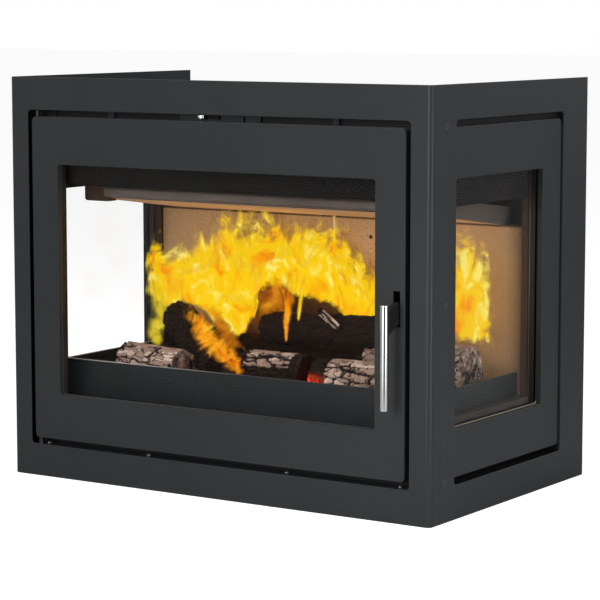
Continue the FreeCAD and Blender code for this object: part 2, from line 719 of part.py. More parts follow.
def door_back_ring():
    """Ring that closes the back of the door and clamps the glass with its folded edge."""
    ring = panel_y(DOOR_HALF - DOOR_SKIN, DOOR_LOW + DOOR_SKIN, DOOR_HIGH - DOOR_SKIN,
                   RING_FRONT, DOOR_DEPTH, DOOR_R - DOOR_SKIN)
    tube = door_opening(GLASS_FRONT + GLASS_THICK, RING_FRONT, RING_STEP + REVEAL_WALL)
    hole = door_opening(0, DOOR_DEPTH + 1, RING_STEP)
    return ring.fuse(tube).cut(hole).cut(latch_slot(RING_SLOT_HIGH)).removeSplitter()


def door_rope_seal():
    """Rope seal round the back of the door, facing the firebox front."""
    ring = panel_y(ROPE_HALF, ROPE_LOW, ROPE_HIGH, DOOR_DEPTH, ROPE_BACK, ROPE_R)
    hole = panel_y(ROPE_HALF - ROPE_WIDTH, ROPE_LOW + ROPE_WIDTH, ROPE_HIGH - ROPE_WIDTH, 0, BIG,
                   ROPE_R - ROPE_WIDTH)
    return ring.cut(hole)


def lever_bracket():
    """Stirrup behind the door's face that carries the handle's pivot pin."""
    inner = STIRRUP_HALF - STIRRUP_WALL
    outer = box(LEVER_X - STIRRUP_HALF, LEVER_X + STIRRUP_HALF, DOOR_SKIN, RING_FRONT,
                STIRRUP_LOW, STIRRUP_HIGH)
    gap = box(LEVER_X - inner, LEVER_X + inner, 0, DOOR_DEPTH, 0, STIRRUP_HIGH - STIRRUP_TOP)
    return outer.cut(gap).cut(hole_x(PIVOT_DEPTH, PIVOT_Z, PIVOT_R))


def lever_pin():
    """Pivot pin of the handle."""
    return rod_x(LEVER_X - STIRRUP_HALF, LEVER_X + STIRRUP_HALF, PIVOT_DEPTH, PIVOT_Z, PIVOT_R)


def handle_lever():
    """Flat lever: arm in front of the door, boss on the pivot and latch tongue behind."""
    arm_front = PIVOT_R - BAR_REACH
    arm = [(arm_front, PIVOT_Z - 28), (arm_front, PIVOT_Z + 6), (0, PIVOT_Z + 16)]
    boss_top = [(10, PIVOT_Z + 14), (DOOR_DEPTH, PIVOT_Z + 9), (33, PIVOT_Z + TONGUE_HALF)]
    tongue = [(TONGUE_BACK, PIVOT_Z + TONGUE_HALF), (TONGUE_BACK, PIVOT_Z - TONGUE_HALF)]
    boss_low = [(DOOR_DEPTH, PIVOT_Z - 8), (10, PIVOT_Z - 14), (0, PIVOT_Z - 16)]
    lever = extruded(arm + boss_top + tongue + boss_low, LEVER_X - LEVER_THICK / 2, LEVER_X + LEVER_THICK / 2)
    return lever.cut(hole_x(PIVOT_DEPTH, PIVOT_Z, PIVOT_R + RUN_CLEAR))


def handle_bar(lever):
    """Polished upright bar, grooved near its top and slotted for the lever."""
    bar = rod_z(LEVER_X, -BAR_REACH, BAR_LOW, BAR_HIGH, BAR_R)
    bar = bar.makeChamfer(BAR_CHAMFER, [bar.Edges[0], bar.Edges[2]])
    groove_low = BAR_HIGH - GROOVE_DROP
    groove = rod_z(LEVER_X, -BAR_REACH, groove_low, groove_low + GROOVE_WIDTH, BAR_R + 1)
    groove = groove.cut(hole_z(LEVER_X, -BAR_REACH, BAR_R - GROOVE_CUT))
    return bar.cut(groove).cut(lever)


def catch_bracket():
    """Stirrup behind the firebox front that holds the catch pin."""
    back = FRONT_PLATE + PLATE
    inner = CATCH_HALF - CATCH_WALL
    outer = box(LEVER_X - CATCH_HALF, LEVER_X + CATCH_HALF, back, back + CATCH_REACH, CATCH_LOW, CATCH_HIGH)
    gap = box(LEVER_X - inner, LEVER_X + inner, back - 1, back + CATCH_REACH + 1, 0, CATCH_HIGH - CATCH_TOP)
    return outer.cut(gap).cut(hole_x(back + CATCH_PIN_REACH, CATCH_PIN_Z, PIVOT_R))


def catch_pin():
    """Cross pin that the latch tongue slides under."""
    depth = FRONT_PLATE + PLATE + CATCH_PIN_REACH
    return rod_x(LEVER_X - CATCH_HALF, LEVER_X + CATCH_HALF, depth, CATCH_PIN_Z, PIVOT_R)


def air_guide_plates():
    """Two plates in the gap above the door; the left one has the control's slot."""
    front = FRONT_PLATE - SHEET
    half = AIR_SLOT_HEIGHT / 2
    left = box(GUIDE_LEFT, GUIDE_SPLIT, front, FRONT_PLATE, GUIDE_LOW, GUIDE_HIGH)
    slot = box(AIR_SLOT_LEFT, AIR_SLOT_RIGHT, front - 1, FRONT_PLATE + 1,
               AIR_SLOT_Z - half, AIR_SLOT_Z + half)
    left = left.cut(rounded(slot, half - 0.1, V(0, 1, 0)))
    right = box(GUIDE_SPLIT + GUIDE_GAP, GUIDE_RIGHT, front, FRONT_PLATE, GUIDE_LOW, GUIDE_HIGH)
    return Part.makeCompound([left, right])


def air_slide():
    """Sliding shutter behind the guide plate, with the knob's stem."""
    front = FRONT_PLATE + SHUTTER_GAP
    shutter = box(SHUTTER_LEFT, SHUTTER_RIGHT, front, front + SHEET, BODY_TOP + SHUTTER_CLEAR, SHUTTER_HIGH)
    stem = box(KNOB_X - STEM_HALF, KNOB_X + STEM_HALF, STEM_FRONT, front,
               AIR_SLOT_Z - STEM_HALF, AIR_SLOT_Z + STEM_HALF)
    return shutter.fuse(stem).removeSplitter()


def air_knob(slide):
    """Round polished knob on the shutter's stem."""
    half = AIR_SLOT_HEIGHT / 2 - KNOB_CLEAR
    knob = rod_z(KNOB_X, KNOB_DEPTH, AIR_SLOT_Z - half, AIR_SLOT_Z + half, KNOB_R)
    return knob.makeChamfer(KNOB_CHAMFER, [knob.Edges[0], knob.Edges[2]]).cut(slide)


def log(start, end, radius, taper, seed):
    """Split log between two points: an uneven round section that narrows to one end."""
    axis = (end - start).normalize()
    across = axis.cross(V(0, 0, 1)).normalize()
    upward = across.cross(axis)
    wires = []
    for share in LOG_SHARES:
        centre = start + (end - start) * share
        size = radius * (1 - taper * share)
        points = []
        for k in range(LOG_SIDES):
            angle = 2 * math.pi * k / LOG_SIDES
            reach = size * (0.93 + 0.07 * math.sin(seed + 2.1 * k + 1.3 * share))
            points.append(centre + across * (reach * math.cos(angle)) + upward * (reach * math.sin(angle)))
        wires.append(Part.makePolygon(points + points[:1]))
    return Part.makeLoft(wires, True, True)


def firewood():
    """Split logs stacked on the hearth inside the guard."""
    logs = []
    for start, end, radius, taper, seed in LOGS:
        ends = [V(x, y_at(depth), z) for x, depth, z in (start, end)]
        logs.append(log(*ends, radius, taper, seed))
    return Part.makeCompound(logs)


def surround():
    """The bent steel casing and what fastens it."""
    screws = [side_screw(side, z) for side in (-1, 1) for z in SIDE_SCREW_Z]
    return {
        "surround_front": surround_front(),
        "surround_side_left": surround_side(-1),
        "surround_side_right": surround_side(1),
        "surround_laps": Part.makeCompound([surround_lap(-1), surround_lap(1)]),
        "surround_side_screws": Part.makeCompound(screws),
        "surround_base_screws": Part.makeCompound([base_screw(x) for x in BASE_SCREW_X]),
        "surround_brackets": both_sides(surround_bracket()),
    }


def body():
    """The firebox body, its collars and its feet."""
    feet = [levelling_foot(x, depth) for x in (-FOOT_X, FOOT_X) for depth in FOOT_DEPTHS]
    return {
        "base_plate": base_plate(),
        "levelling_feet": Part.makeCompound(feet),
        "front_plate": front_plate(),
        "front_posts": both_sides(post(POST_INNER, BODY_HALF, FRONT_PLATE + PLATE, POST_BACK)),
        "rear_posts": both_sides(post(POST_INNER, INNER_HALF, REAR_POST, BACK_PLATE)),
        "back_plate": back_plate(),
        "top_plate": top_plate(),
        "flue_collar": flue_collar(),
        "air_inlet_collar": air_inlet_collar(),
        "inner_back_plate": inner_back_plate(),
        "floor_plates": both_sides(floor_plate()),
        "floor_supports": Part.makeCompound([floor_support(POST_BACK), floor_support(LINING_FRONT)]),
    }


def side_windows():
    """The fixed window on each side."""
    pieces = {}
    for side, name in ((-1, "left"), (1, "right")):
        pieces["side_wall_" + name] = side_wall(side)
        pieces["side_frame_" + name] = side_frame(side)
        pieces["side_gasket_" + name] = side_gasket(side)
        pieces["side_glass_" + name] = side_glass(side)
    return pieces


def fire_bed():
    """Linings, grate, baffle, guard and wood inside the firebox."""
    return {
        "hearth_slab_left": hearth_slab(-1),
        "hearth_slab_right": hearth_slab(1),
        "fire_grate": fire_grate(),
        "back_lining_left": back_lining(-1),
        "back_lining_right": back_lining(1),
        "corner_linings": both_sides(corner_lining()),
        "baffle": baffle(),
        "baffle_rail": baffle_rail(),
        "baffle_brackets": both_sides(baffle_bracket()),
        "log_guard": log_guard(),
        "side_air_deflectors": both_sides(side_air_deflector()),
        "front_air_deflector": front_air_deflector(),
        "firewood": firewood(),
    }


def door():
    """The hinged door, its hinge and its latch."""
    low_block = hinge_block(DOOR_LOW + DOOR_SKIN)
    high_block = hinge_block(DOOR_HIGH - DOOR_SKIN - BLOCK_HEIGHT)
    lever = handle_lever()
    return {
        "hinge_bracket_upper": hinge_bracket_upper(),
        "hinge_bracket_lower": hinge_bracket_lower(),
        "hinge_pin_upper": hinge_pin_upper(),
        "hinge_pin_lower": hinge_pin_lower(),
        "catch_bracket": catch_bracket(),
        "catch_pin": catch_pin(),
        "door_frame": door_frame(),
        "door_glass": door_glass(),
        "door_gasket": door_gasket(),
        "door_back_ring": door_back_ring(),
        "door_rope_seal": door_rope_seal(),
        "hinge_blocks": Part.makeCompound([low_block, high_block]),
        "lever_bracket": lever_bracket(),
        "lever_pin": lever_pin(),
        "handle_lever": lever,
        "handle_bar": handle_bar(lever),
    }


def air_control():
    """The sliding air control above the door."""
    slide = air_slide()
    return {
        "air_guide_plates": air_guide_plates(),
        "air_slide": slide,
        "air_knob": air_knob(slide),
    }


os.makedirs("parts", exist_ok=True)
for group in (surround(), body(), side_windows(), fire_bed(), door(), air_control()):
    for name, shape in group.items():
        shape.exportStep(os.path.join("parts", name + ".step"))
        state = "valid" if shape.isValid() else "INVALID"
        print(name, len(shape.Solids), "solid(s)", round(shape.Volume), "mm3", state)
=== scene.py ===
"""Looks of a three-sided fireplace insert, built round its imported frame.

Objects are in metres in the frame's own axes: +Z up, +X along the door, +Y back into the chimney.
The sizes of the sub-assemblies and the places of the fire's lamps are in millimetres, and those of the
finishes and the rest of the studio in metres.
"""
import json
import logging
import math
from dataclasses import dataclass
from enum import Enum
from typing import Callable, Iterable, NamedTuple, Sequence

import bpy
from bpy.types import Light, Material, Node, NodeSocket, NodeTree, Object
from mathutils import Matrix, Vector, noise


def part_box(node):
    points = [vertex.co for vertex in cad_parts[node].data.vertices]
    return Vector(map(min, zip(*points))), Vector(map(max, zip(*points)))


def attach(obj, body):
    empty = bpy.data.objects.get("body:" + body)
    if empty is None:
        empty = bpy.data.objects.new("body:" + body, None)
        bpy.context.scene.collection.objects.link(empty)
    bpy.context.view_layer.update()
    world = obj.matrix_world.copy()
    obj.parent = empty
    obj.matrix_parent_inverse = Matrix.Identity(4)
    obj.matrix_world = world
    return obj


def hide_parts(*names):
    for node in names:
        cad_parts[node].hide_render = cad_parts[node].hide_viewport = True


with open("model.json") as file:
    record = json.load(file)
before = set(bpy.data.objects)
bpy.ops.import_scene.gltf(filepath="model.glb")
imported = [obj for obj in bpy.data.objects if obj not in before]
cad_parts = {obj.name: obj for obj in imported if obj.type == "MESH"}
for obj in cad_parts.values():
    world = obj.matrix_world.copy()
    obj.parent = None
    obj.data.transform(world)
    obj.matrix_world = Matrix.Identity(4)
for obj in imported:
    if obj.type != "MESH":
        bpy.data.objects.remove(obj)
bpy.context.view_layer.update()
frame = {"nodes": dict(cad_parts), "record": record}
LOG = logging.getLogger("fireplace")

Colour = tuple[float, float, float]
Point = tuple[float, float, float]
Pair = tuple[float, float]

MM = 0.001
CLOSE = 1e-6
FRONT_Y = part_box("surround_front")[0].y
IMAGE_PIXELS = 600
SENSOR_MM = 36.0
WHITE = (1.0, 1.0, 1.0)
BLACK = (0.0, 0.0, 0.0)
# A place past the whole object, for a mark that some finishes don't have.
BEYOND = 9.0


def at(x: float, depth: float, z: float) -> Vector:
    """Point in the frame from millimetres: x, depth behind the surround's face, and height."""
    return Vector((x * MM, FRONT_Y + depth * MM, z * MM))


def ease(value: float) -> float:
    """Smooth step from 0 to 1."""
    value = min(1.0, max(0.0, value))
    return value * value * (3.0 - 2.0 * value)


class Element(Enum):
    """What a test selects on a mesh."""

    FACE = "faces"
    EDGE = "edges"


class Bench:
    """Modelling by hand: primitives, edit mode, selection in code and applied places."""

    @staticmethod
    def clear() -> None:
        """Leave edit mode and deselect every object."""
        if bpy.context.mode != "OBJECT":
            bpy.ops.object.mode_set(mode="OBJECT")
        bpy.ops.object.select_all(action="DESELECT")

    @staticmethod
    def hold(piece: Object) -> None:
        """Select one piece alone and make it active.

        Args:
            piece: The piece to work on.
        """
        Bench.clear()
        piece.select_set(True)
        bpy.context.view_layer.objects.active = piece

    @staticmethod
    def take(name: str) -> Object:
        """Name the object that was just added.

        Args:
            name: Name of the new piece.

        Returns:
            The active object.
        """
        piece = bpy.context.active_object
        piece.name = name
        piece.data.name = name
        return piece

    @staticmethod
    def settle(piece: Object) -> None:
        """Put the object's place into its mesh, so that it sits at the origin."""
        Bench.hold(piece)
        bpy.ops.object.transform_apply(location=True, rotation=True, scale=True)

    @staticmethod
    def cylinder(name: str, sides: int, radius: float, depth: float,
                 middle: Point = (0.0, 0.0, 0.0)) -> Object:
        """Start a turned piece as an upright cylinder.

        Args:
            name: Name of the piece.
            sides: Number of its sides.
            radius: Its radius in metres.
            depth: Its height in metres.
            middle: Its middle.

        Returns:
            The cylinder, with its place in its mesh.
        """
        Bench.clear()
        bpy.ops.mesh.primitive_cylinder_add(vertices=sides, radius=radius, depth=depth, location=middle)
        piece = Bench.take(name)
        Bench.settle(piece)
        return piece

    @staticmethod
    def pick(piece: Object, kind: Element, wanted: Callable[[Vector, Vector], bool]) -> None:
        """Select faces or edges by a test and enter edit mode.

        Args:
            piece: Mesh object.
            kind: Faces or edges.
            wanted: Test of a face's middle and normal, or of an edge's two ends.
        """
        Bench.hold(piece)
        bpy.ops.object.mode_set(mode="EDIT")
        bpy.ops.mesh.select_mode(type=kind.name)
        bpy.ops.mesh.select_all(action="DESELECT")
        bpy.ops.object.mode_set(mode="OBJECT")
        mesh = piece.data
        if kind is Element.FACE:
            for face in mesh.polygons:
                face.select = wanted(face.center, face.normal)
        else:
            for edge in mesh.edges:
                first, second = edge.vertices
                edge.select = wanted(mesh.vertices[first].co, mesh.vertices[second].co)
        bpy.ops.object.mode_set(mode="EDIT")

    @staticmethod
    def done(piece: Object, angle: float = 35.0) -> None:
        """Leave edit mode and shade the piece smooth.

        Args:
            piece: The finished piece.
            angle: Sharpest bend, in degrees, that is still shaded smooth.
        """
        Bench.hold(piece)
        bpy.ops.object.shade_smooth_by_angle(angle=math.radians(angle))
        piece.select_set(False)

    @staticmethod
    def outward(piece: Object) -> None:
        """Merge doubled points and turn every face outwards.

        Args:
            piece: Closed mesh object.
        """
        Bench.hold(piece)
        bpy.ops.object.mode_set(mode="EDIT")
        bpy.ops.mesh.select_all(action="SELECT")
        bpy.ops.mesh.remove_doubles(threshold=CLOSE)
        bpy.ops.mesh.normals_make_consistent(inside=False)
        bpy.ops.object.mode_set(mode="OBJECT")


class Tree:
    """Short hand for building a node tree, in a material or in a group."""

    def __init__(self, nodes: NodeTree) -> None:
        """Keep the tree that nodes are added to."""
        self.nodes = nodes

    def add(self, kind: str, **settings: object) -> Node:
        """Add a node and set its properties.

        Args:
            kind: Shader node type without its prefix, such as TexNoise.
            settings: Properties of the node, by name.

        Returns:
            The new node.
        """
        node = self.nodes.nodes.new("ShaderNode" + kind)
        for name, value in settings.items():
            setattr(node, name, value)
        return node

    def give(self, socket: NodeSocket, value: object) -> None:
        """Link an input or set its plain value.

        Args:
            socket: The input.
            value: A socket to link from, or a plain value, where a colour has three numbers.
        """
        if isinstance(value, NodeSocket):
            self.nodes.links.new(value, socket)
        elif socket.type == "RGBA":
            socket.default_value = (*value, 1.0)
        else:
            socket.default_value = value

    def feed(self, node: Node, **inputs: object) -> Node:
        """Give inputs their values or links by socket name, with _ for a space.

        Args:
            node: Node to feed.
            inputs: A socket to link from, or a plain value.

        Returns:
            The same node.
        """
        for name, value in inputs.items():
            self.give(node.inputs[name.replace("_", " ")], value)
        return node

    def fill(self, node: Node, *values: object) -> Node:
        """Give a node's first inputs their values or links, in order.

        Args:
            node: Node to fill.
            values: Sockets to link from, or plain values.

        Returns:
            The same node.
        """
        for socket, value in zip(node.inputs, values):
            self.give(socket, value)
        return node

    def coords(self, scale: Point = (1.0, 1.0, 1.0)) -> NodeSocket:
        """Object coordinates, stretched by a scale for each axis."""
        place = self.add("TexCoord").outputs["Object"]
        return self.feed(self.add("Mapping"), Vector=place, Scale=scale).outputs["Vector"]

    def axes(self, vector: NodeSocket) -> dict[str, NodeSocket]:
        """X, Y and Z of a vector."""
        node = self.feed(self.add("SeparateXYZ"), Vector=vector)
        return {axis: node.outputs[axis] for axis in "XYZ"}

    def noise(self, vector: NodeSocket, scale: object, detail: float = 4.0,
              roughness: float = 0.55) -> NodeSocket:
        """Noise value from 0 to 1."""
        node = self.feed(self.add("TexNoise"), Vector=vector, Scale=scale, Detail=detail, Roughness=roughness)
        return node.outputs["Fac"]

    def spread(self, value: NodeSocket, low: object, high: object, to_low: float = 0.0,
               to_high: float = 1.0) -> NodeSocket:
        """Stretch a value from one range to another, clamped.

        Args:
            value: The value to stretch.
            low: Start of its range.
            high: End of its range.
            to_low: What the start becomes.
            to_high: What the end becomes.

        Returns:
            The stretched value.
        """
        node = self.add("MapRange", clamp=True)
        self.feed(node, Value=value, From_Min=low, From_Max=high, To_Min=to_low, To_Max=to_high)
        return node.outputs["Result"]

    def maths(self, operation: str, a: object, b: object = 0.5) -> NodeSocket:
        """Arithmetic on one or two values or sockets."""
        return self.fill(self.add("Math", operation=operation), a, b).outputs["Value"]

    def times(self, a: object, b: object) -> NodeSocket:
        """Product of two values or sockets."""
        return self.maths("MULTIPLY", a, b)

    def plus(self, a: object, b: object) -> NodeSocket:
        """Sum of two values or sockets."""
        return self.maths("ADD", a, b)

    def blend(self, share: NodeSocket, a: object, b: object) -> NodeSocket:
        """Mix two colours by a share.

        Args:
            share: Share of the second colour, from 0 to 1.
            a: First colour, or a socket.
            b: Second colour, or a socket.

        Returns:
            The mixed colour.
        """
        node = self.add("Mix", data_type="RGBA", clamp_factor=True)
        sockets = {socket.identifier: socket for socket in node.inputs}
        for name, value in (("Factor_Float", share), ("A_Color", a), ("B_Color", b)):
            self.give(sockets[name], value)
        return next(socket for socket in node.outputs if socket.identifier == "Result_Color")

    def choose(self, share: NodeSocket, first: NodeSocket, second: NodeSocket) -> NodeSocket:
        """Mix two shaders by a share."""
        return self.fill(self.add("MixShader"), share, first, second).outputs["Shader"]

    def ramp(self, share: NodeSocket, stops: Sequence[tuple[float, Colour]]) -> NodeSocket:
        """Colour ramp through some stops.

        Args:
            share: Place on the ramp, from 0 to 1.
            stops: Places with their colours, in order.

        Returns:
            The colour at that place.
        """
        node = self.add("ValToRGB")
        band = node.color_ramp
        while len(band.elements) < len(stops):
            band.elements.new(0.5)
        for element, (place, colour) in zip(band.elements, stops):
            element.position = place
            element.color = (*colour, 1.0)
        return self.feed(node, Fac=share).outputs["Color"]

    def bump(self, height: NodeSocket, strength: float, depth: float) -> NodeSocket:
        """Bumped normal from a height from 0 to 1 and a depth in metres."""
        return self.feed(self.add("Bump"), Height=height, Strength=strength, Distance=depth).outputs["Normal"]


class Groups:
    """Node groups that several finishes share, built once."""

    @staticmethod
    def fresh(name: str, inputs: dict[str, float], outputs: Iterable[str]) -> tuple[Tree, Node, Node]:
        """Start a group with named float inputs and outputs.

        Args:
            name: Group name.
            inputs: Socket names with their default values.
            outputs: Names of the float outputs.

        Returns:
            The tree, its group input node and its group output node.
        """
        group = bpy.data.node_groups.new(name, "ShaderNodeTree")
        for label, value in inputs.items():
            socket = group.interface.new_socket(name=label, in_out="INPUT", socket_type="NodeSocketFloat")
            socket.default_value = value
        for label in outputs:
            group.interface.new_socket(name=label, in_out="OUTPUT", socket_type="NodeSocketFloat")
        return Tree(group), group.nodes.new("NodeGroupInput"), group.nodes.new("NodeGroupOutput")

    @staticmethod
    def speckle() -> NodeTree:
        """Fine grain with broad drifts: paint texture, cast skin and board grain.

        Returns:
            The group, which puts out Grain and Drift.
        """
        found = bpy.data.node_groups.get("speckle")
        if found:
            return found
        tree, source, result = Groups.fresh("speckle", {"Fine": 900.0, "Broad": 6.0}, ("Grain", "Drift"))
        vector = tree.coords()
        fine = tree.noise(vector, source.outputs["Fine"], 3.0, 0.6)
        broad = tree.noise(vector, source.outputs["Broad"], 5.0, 0.6)
        tree.feed(result, Grain=fine, Drift=broad)
        return tree.nodes

    @staticmethod
    def soot() -> NodeTree:
        """Cloudy soot that thickens towards a height.

        Returns:
            The group, which puts out Mask.
        """
        found = bpy.data.node_groups.get("soot")
        if found:
            return found
        tree, source, result = Groups.fresh("soot", {"Low": 0.2, "High": 0.5, "Cloud": 14.0}, ("Mask",))
        vector = tree.coords()
        climb = tree.spread(tree.axes(vector)["Z"], source.outputs["Low"], source.outputs["High"])
        cloud = tree.noise(vector, source.outputs["Cloud"], 6.0, 0.65)
        tree.feed(result, Mask=tree.times(climb, tree.spread(cloud, 0.3, 0.7)))
        return tree.nodes

    @staticmethod
    def grain(tree: Tree, fine: float, broad: float) -> tuple[NodeSocket, NodeSocket]:
        """Grain and drift of the speckle group, at a fine and a broad scale."""
        node = tree.feed(tree.add("Group", node_tree=Groups.speckle()), Fine=fine, Broad=broad)
        return node.outputs["Grain"], node.outputs["Drift"]

    @staticmethod
    def sooted(tree: Tree, low: float, high: float, cloud: float) -> NodeSocket:
        """Mask of the soot group between two heights, with clouds of some scale."""
        node = tree.feed(tree.add("Group", node_tree=Groups.soot()), Low=low, High=high, Cloud=cloud)
        return node.outputs["Mask"]


@dataclass(frozen=True)
class Finish:
    """A material with the values that a maker would give it."""

    name: str
    colour: Colour
    roughness: float = 0.5

    def material(self) -> Material:
        """The finish as a material, built on first use.

        Returns:
            The material.
        """
        found = bpy.data.materials.get(self.name)
        if found:
            return found
        made = bpy.data.materials.new(self.name)
        made.use_nodes = True
        tree = Tree(made.node_tree)
        shader = made.node_tree.nodes["Principled BSDF"]
        tree.feed(shader, Base_Color=self.colour, Roughness=self.roughness)
        self.detail(tree, shader)
        return made

    def detail(self, tree: Tree, shader: Node) -> None:
        """Add this finish's own nodes to the shader."""

    def dress(self, piece: Object) -> None:
        """Give a piece this finish in place of any other."""
        piece.data.materials.clear()
        piece.data.materials.append(self.material())


@dataclass(frozen=True)
class StovePaint(Finish):
    """Heat-proof paint with a fine, slightly pebbled skin."""

    pale: Colour = (0.0275, 0.0302, 0.0312)
    specular: float = 0.16
    fine: float = 1400.0
    broad: float = 5.0
    pebble: float = 0.00004

    def detail(self, tree: Tree, shader: Node) -> None:
        """Grain in colour, gloss and relief.

        Args:
            tree: The material's tree.
            shader: Its shader.
        """
        grain, drift = Groups.grain(tree, self.fine, self.broad)
        tone = tree.plus(tree.times(grain, 0.7), tree.times(drift, 0.3))
        tree.feed(shader, Base_Color=tree.blend(tree.spread(tone, 0.35, 0.65), self.colour, self.pale),
                  Roughness=tree.spread(tone, 0.3, 0.7, self.roughness - 0.05, self.roughness + 0.06),
                  Normal=tree.bump(grain, 0.6, self.pebble), Specular_IOR_Level=self.specular)


@dataclass(frozen=True)
class HeatedSteel(Finish):
    """Bare or thinly painted steel, browned and sooted by the fire."""

    browned: Colour = (0.028, 0.018, 0.014)
    sooty: Colour = (0.006, 0.0055, 0.005)
    sooted: float = 0.6
    gloss: float = 0.25
    # Band of x, and colour, of a painted highlight along an edge.
    painted_highlight_band: Pair | None = None
    painted_highlight: Colour = (0.3, 0.3, 0.3)
    mill_grain: float = 0.00006

    def detail(self, tree: Tree, shader: Node) -> None:
        """Heat stains, soot, mill grain and, on some sheets, a painted highlight along an edge between two
        values of x.

        Args:
            tree: The material's tree.
            shader: Its shader.
        """
        grain, drift = Groups.grain(tree, 600.0, 11.0)
        soot = Groups.sooted(tree, 0.12, 0.55, 18.0)
        stained = tree.blend(tree.spread(drift, 0.35, 0.7), self.colour, self.browned)
        tone = tree.blend(tree.times(soot, self.sooted), stained, self.sooty)
        # Painted highlight: a thin pale band, broken by the drift.
        if self.painted_highlight_band:
            low, high = self.painted_highlight_band
            x = tree.axes(tree.coords())["X"]
            band = tree.times(tree.maths("GREATER_THAN", x, low), tree.maths("LESS_THAN", x, high))
            broken = tree.times(band, tree.spread(drift, 0.4, 0.55, 0.35, 1.0))
            tone = tree.blend(broken, tone, self.painted_highlight)
        tree.feed(shader, Base_Color=tone,
                  Roughness=tree.spread(grain, 0.3, 0.7, self.roughness - 0.08, self.roughness + 0.1),
                  Normal=tree.bump(grain, 0.5, self.mill_grain), Specular_IOR_Level=self.gloss)


@dataclass(frozen=True)
class CastIron(Finish):
    """Sand-cast or heavy rolled iron with a coarse skin and ash in its hollows."""

    ash: Colour = (0.14, 0.135, 0.13)
    dusted: float = 0.1
    # Height, width and colour of a painted highlight along the upper edge.
    painted_highlight_above: float = 0.1755
    painted_highlight_over: float = 0.0006
    painted_highlight_colour: Colour = (0.42, 0.40, 0.38)
    pitted: float = 0.00005
    specular: float = 0.12

    def detail(self, tree: Tree, shader: Node) -> None:
        """Pitted relief, pale ash and a painted highlight along the upper edge, strongest on the left.

        Args:
            tree: The material's tree.
            shader: Its shader.
        """
        grain, drift = Groups.grain(tree, 320.0, 16.0)
        place = tree.axes(tree.coords())
        # Painted highlight along the upper edge, fading out towards the right.
        painted_highlight = tree.spread(place["Z"], self.painted_highlight_above, self.painted_highlight_above + self.painted_highlight_over)
        edge = tree.times(painted_highlight, tree.spread(place["X"], -0.2, 0.02, 0.8, 0.06))
        tone = tree.blend(tree.spread(drift, 0.55, 0.85, 0.0, self.dusted), self.colour, self.ash)
        tree.feed(shader, Base_Color=tree.blend(edge, tone, self.painted_highlight_colour),
                  Roughness=tree.spread(grain, 0.3, 0.7, self.roughness - 0.1, self.roughness + 0.12),
                  Normal=tree.bump(grain, 0.5, self.pitted), Specular_IOR_Level=self.specular)


@dataclass(frozen=True)
class PolishedSteel(Finish):
    """Ground and polished steel with fine lines round the bar."""

    bright: Colour = (0.66, 0.66, 0.65)
    lines: float = 2600.0
    scratch: float = 0.00002

    def detail(self, tree: Tree, shader: Node) -> None:
        """Hairline grinding marks in gloss and relief.

        Args:
            tree: The material's tree.
            shader: Its shader.
        """
        fine = tree.noise(tree.coords((60.0, 60.0, self.lines)), 1.0, 2.0)
        drift = tree.noise(tree.coords(), 40.0)
        tree.feed(shader, Base_Color=tree.blend(tree.spread(drift, 0.3, 0.7), self.colour, self.bright),
                  Roughness=tree.spread(fine, 0.3, 0.7, self.roughness, self.roughness + 0.08),
                  Normal=tree.bump(fine, 0.12, self.scratch), Metallic=1.0)


@dataclass(frozen=True)
class FireGlass(Finish):
    """Clear low-glare ceramic glass with a breath of smoke on it."""

    ior: float = 1.08
    smoke: Colour = (0.93, 0.92, 0.9)

    def detail(self, tree: Tree, shader: Node) -> None:
        """Clear transmission that lets light through to the fire bed.

        Args:
            tree: The material's tree.
            shader: Its shader.
        """
        haze = tree.spread(tree.noise(tree.coords(), 9.0, 5.0), 0.55, 0.8)
        tree.feed(shader, Base_Color=tree.blend(haze, self.colour, self.smoke), Transmission_Weight=1.0,
                  IOR=self.ior)
        shadow = tree.add("LightPath").outputs["Is Shadow Ray"]
        clear = tree.add("BsdfTransparent").outputs["BSDF"]
        surface = tree.choose(shadow, shader.outputs["BSDF"], clear)
        tree.feed(tree.nodes.nodes["Material Output"], Surface=surface)


@dataclass(frozen=True)
class WovenFibre(Finish):
    """Woven or knitted glass fibre, in crossing yarns, clean up to a height and sooted above it."""

    shade: Colour = (0.3, 0.26, 0.18)
    yarn: float = 1100.0
    clean_to: float = BEYOND
    soiled_over: float = 0.003
    dark_tone: Colour = (0.02, 0.019, 0.017)
    relief: float = 0.0004

    def detail(self, tree: Tree, shader: Node) -> None:
        """Crossing yarns in colour and relief.

        Args:
            tree: The material's tree.
            shader: Its shader.
        """
        vector = tree.coords()
        across = tree.add("TexWave", wave_type="BANDS", bands_direction="DIAGONAL")
        tree.feed(across, Vector=vector, Scale=self.yarn, Distortion=1.5, Detail=2.0)
        weave = tree.times(across.outputs["Fac"], tree.noise(vector, self.yarn * 1.3, 2.0))
        sooted = tree.spread(tree.axes(vector)["Z"], self.clean_to, self.clean_to + self.soiled_over)
        tone = tree.blend(tree.spread(weave, 0.1, 0.6), self.shade, self.colour)
        tree.feed(shader, Base_Color=tree.blend(sooted, tone, self.dark_tone),
                  Normal=tree.bump(weave, 0.8, self.relief), Sheen_Weight=0.2)


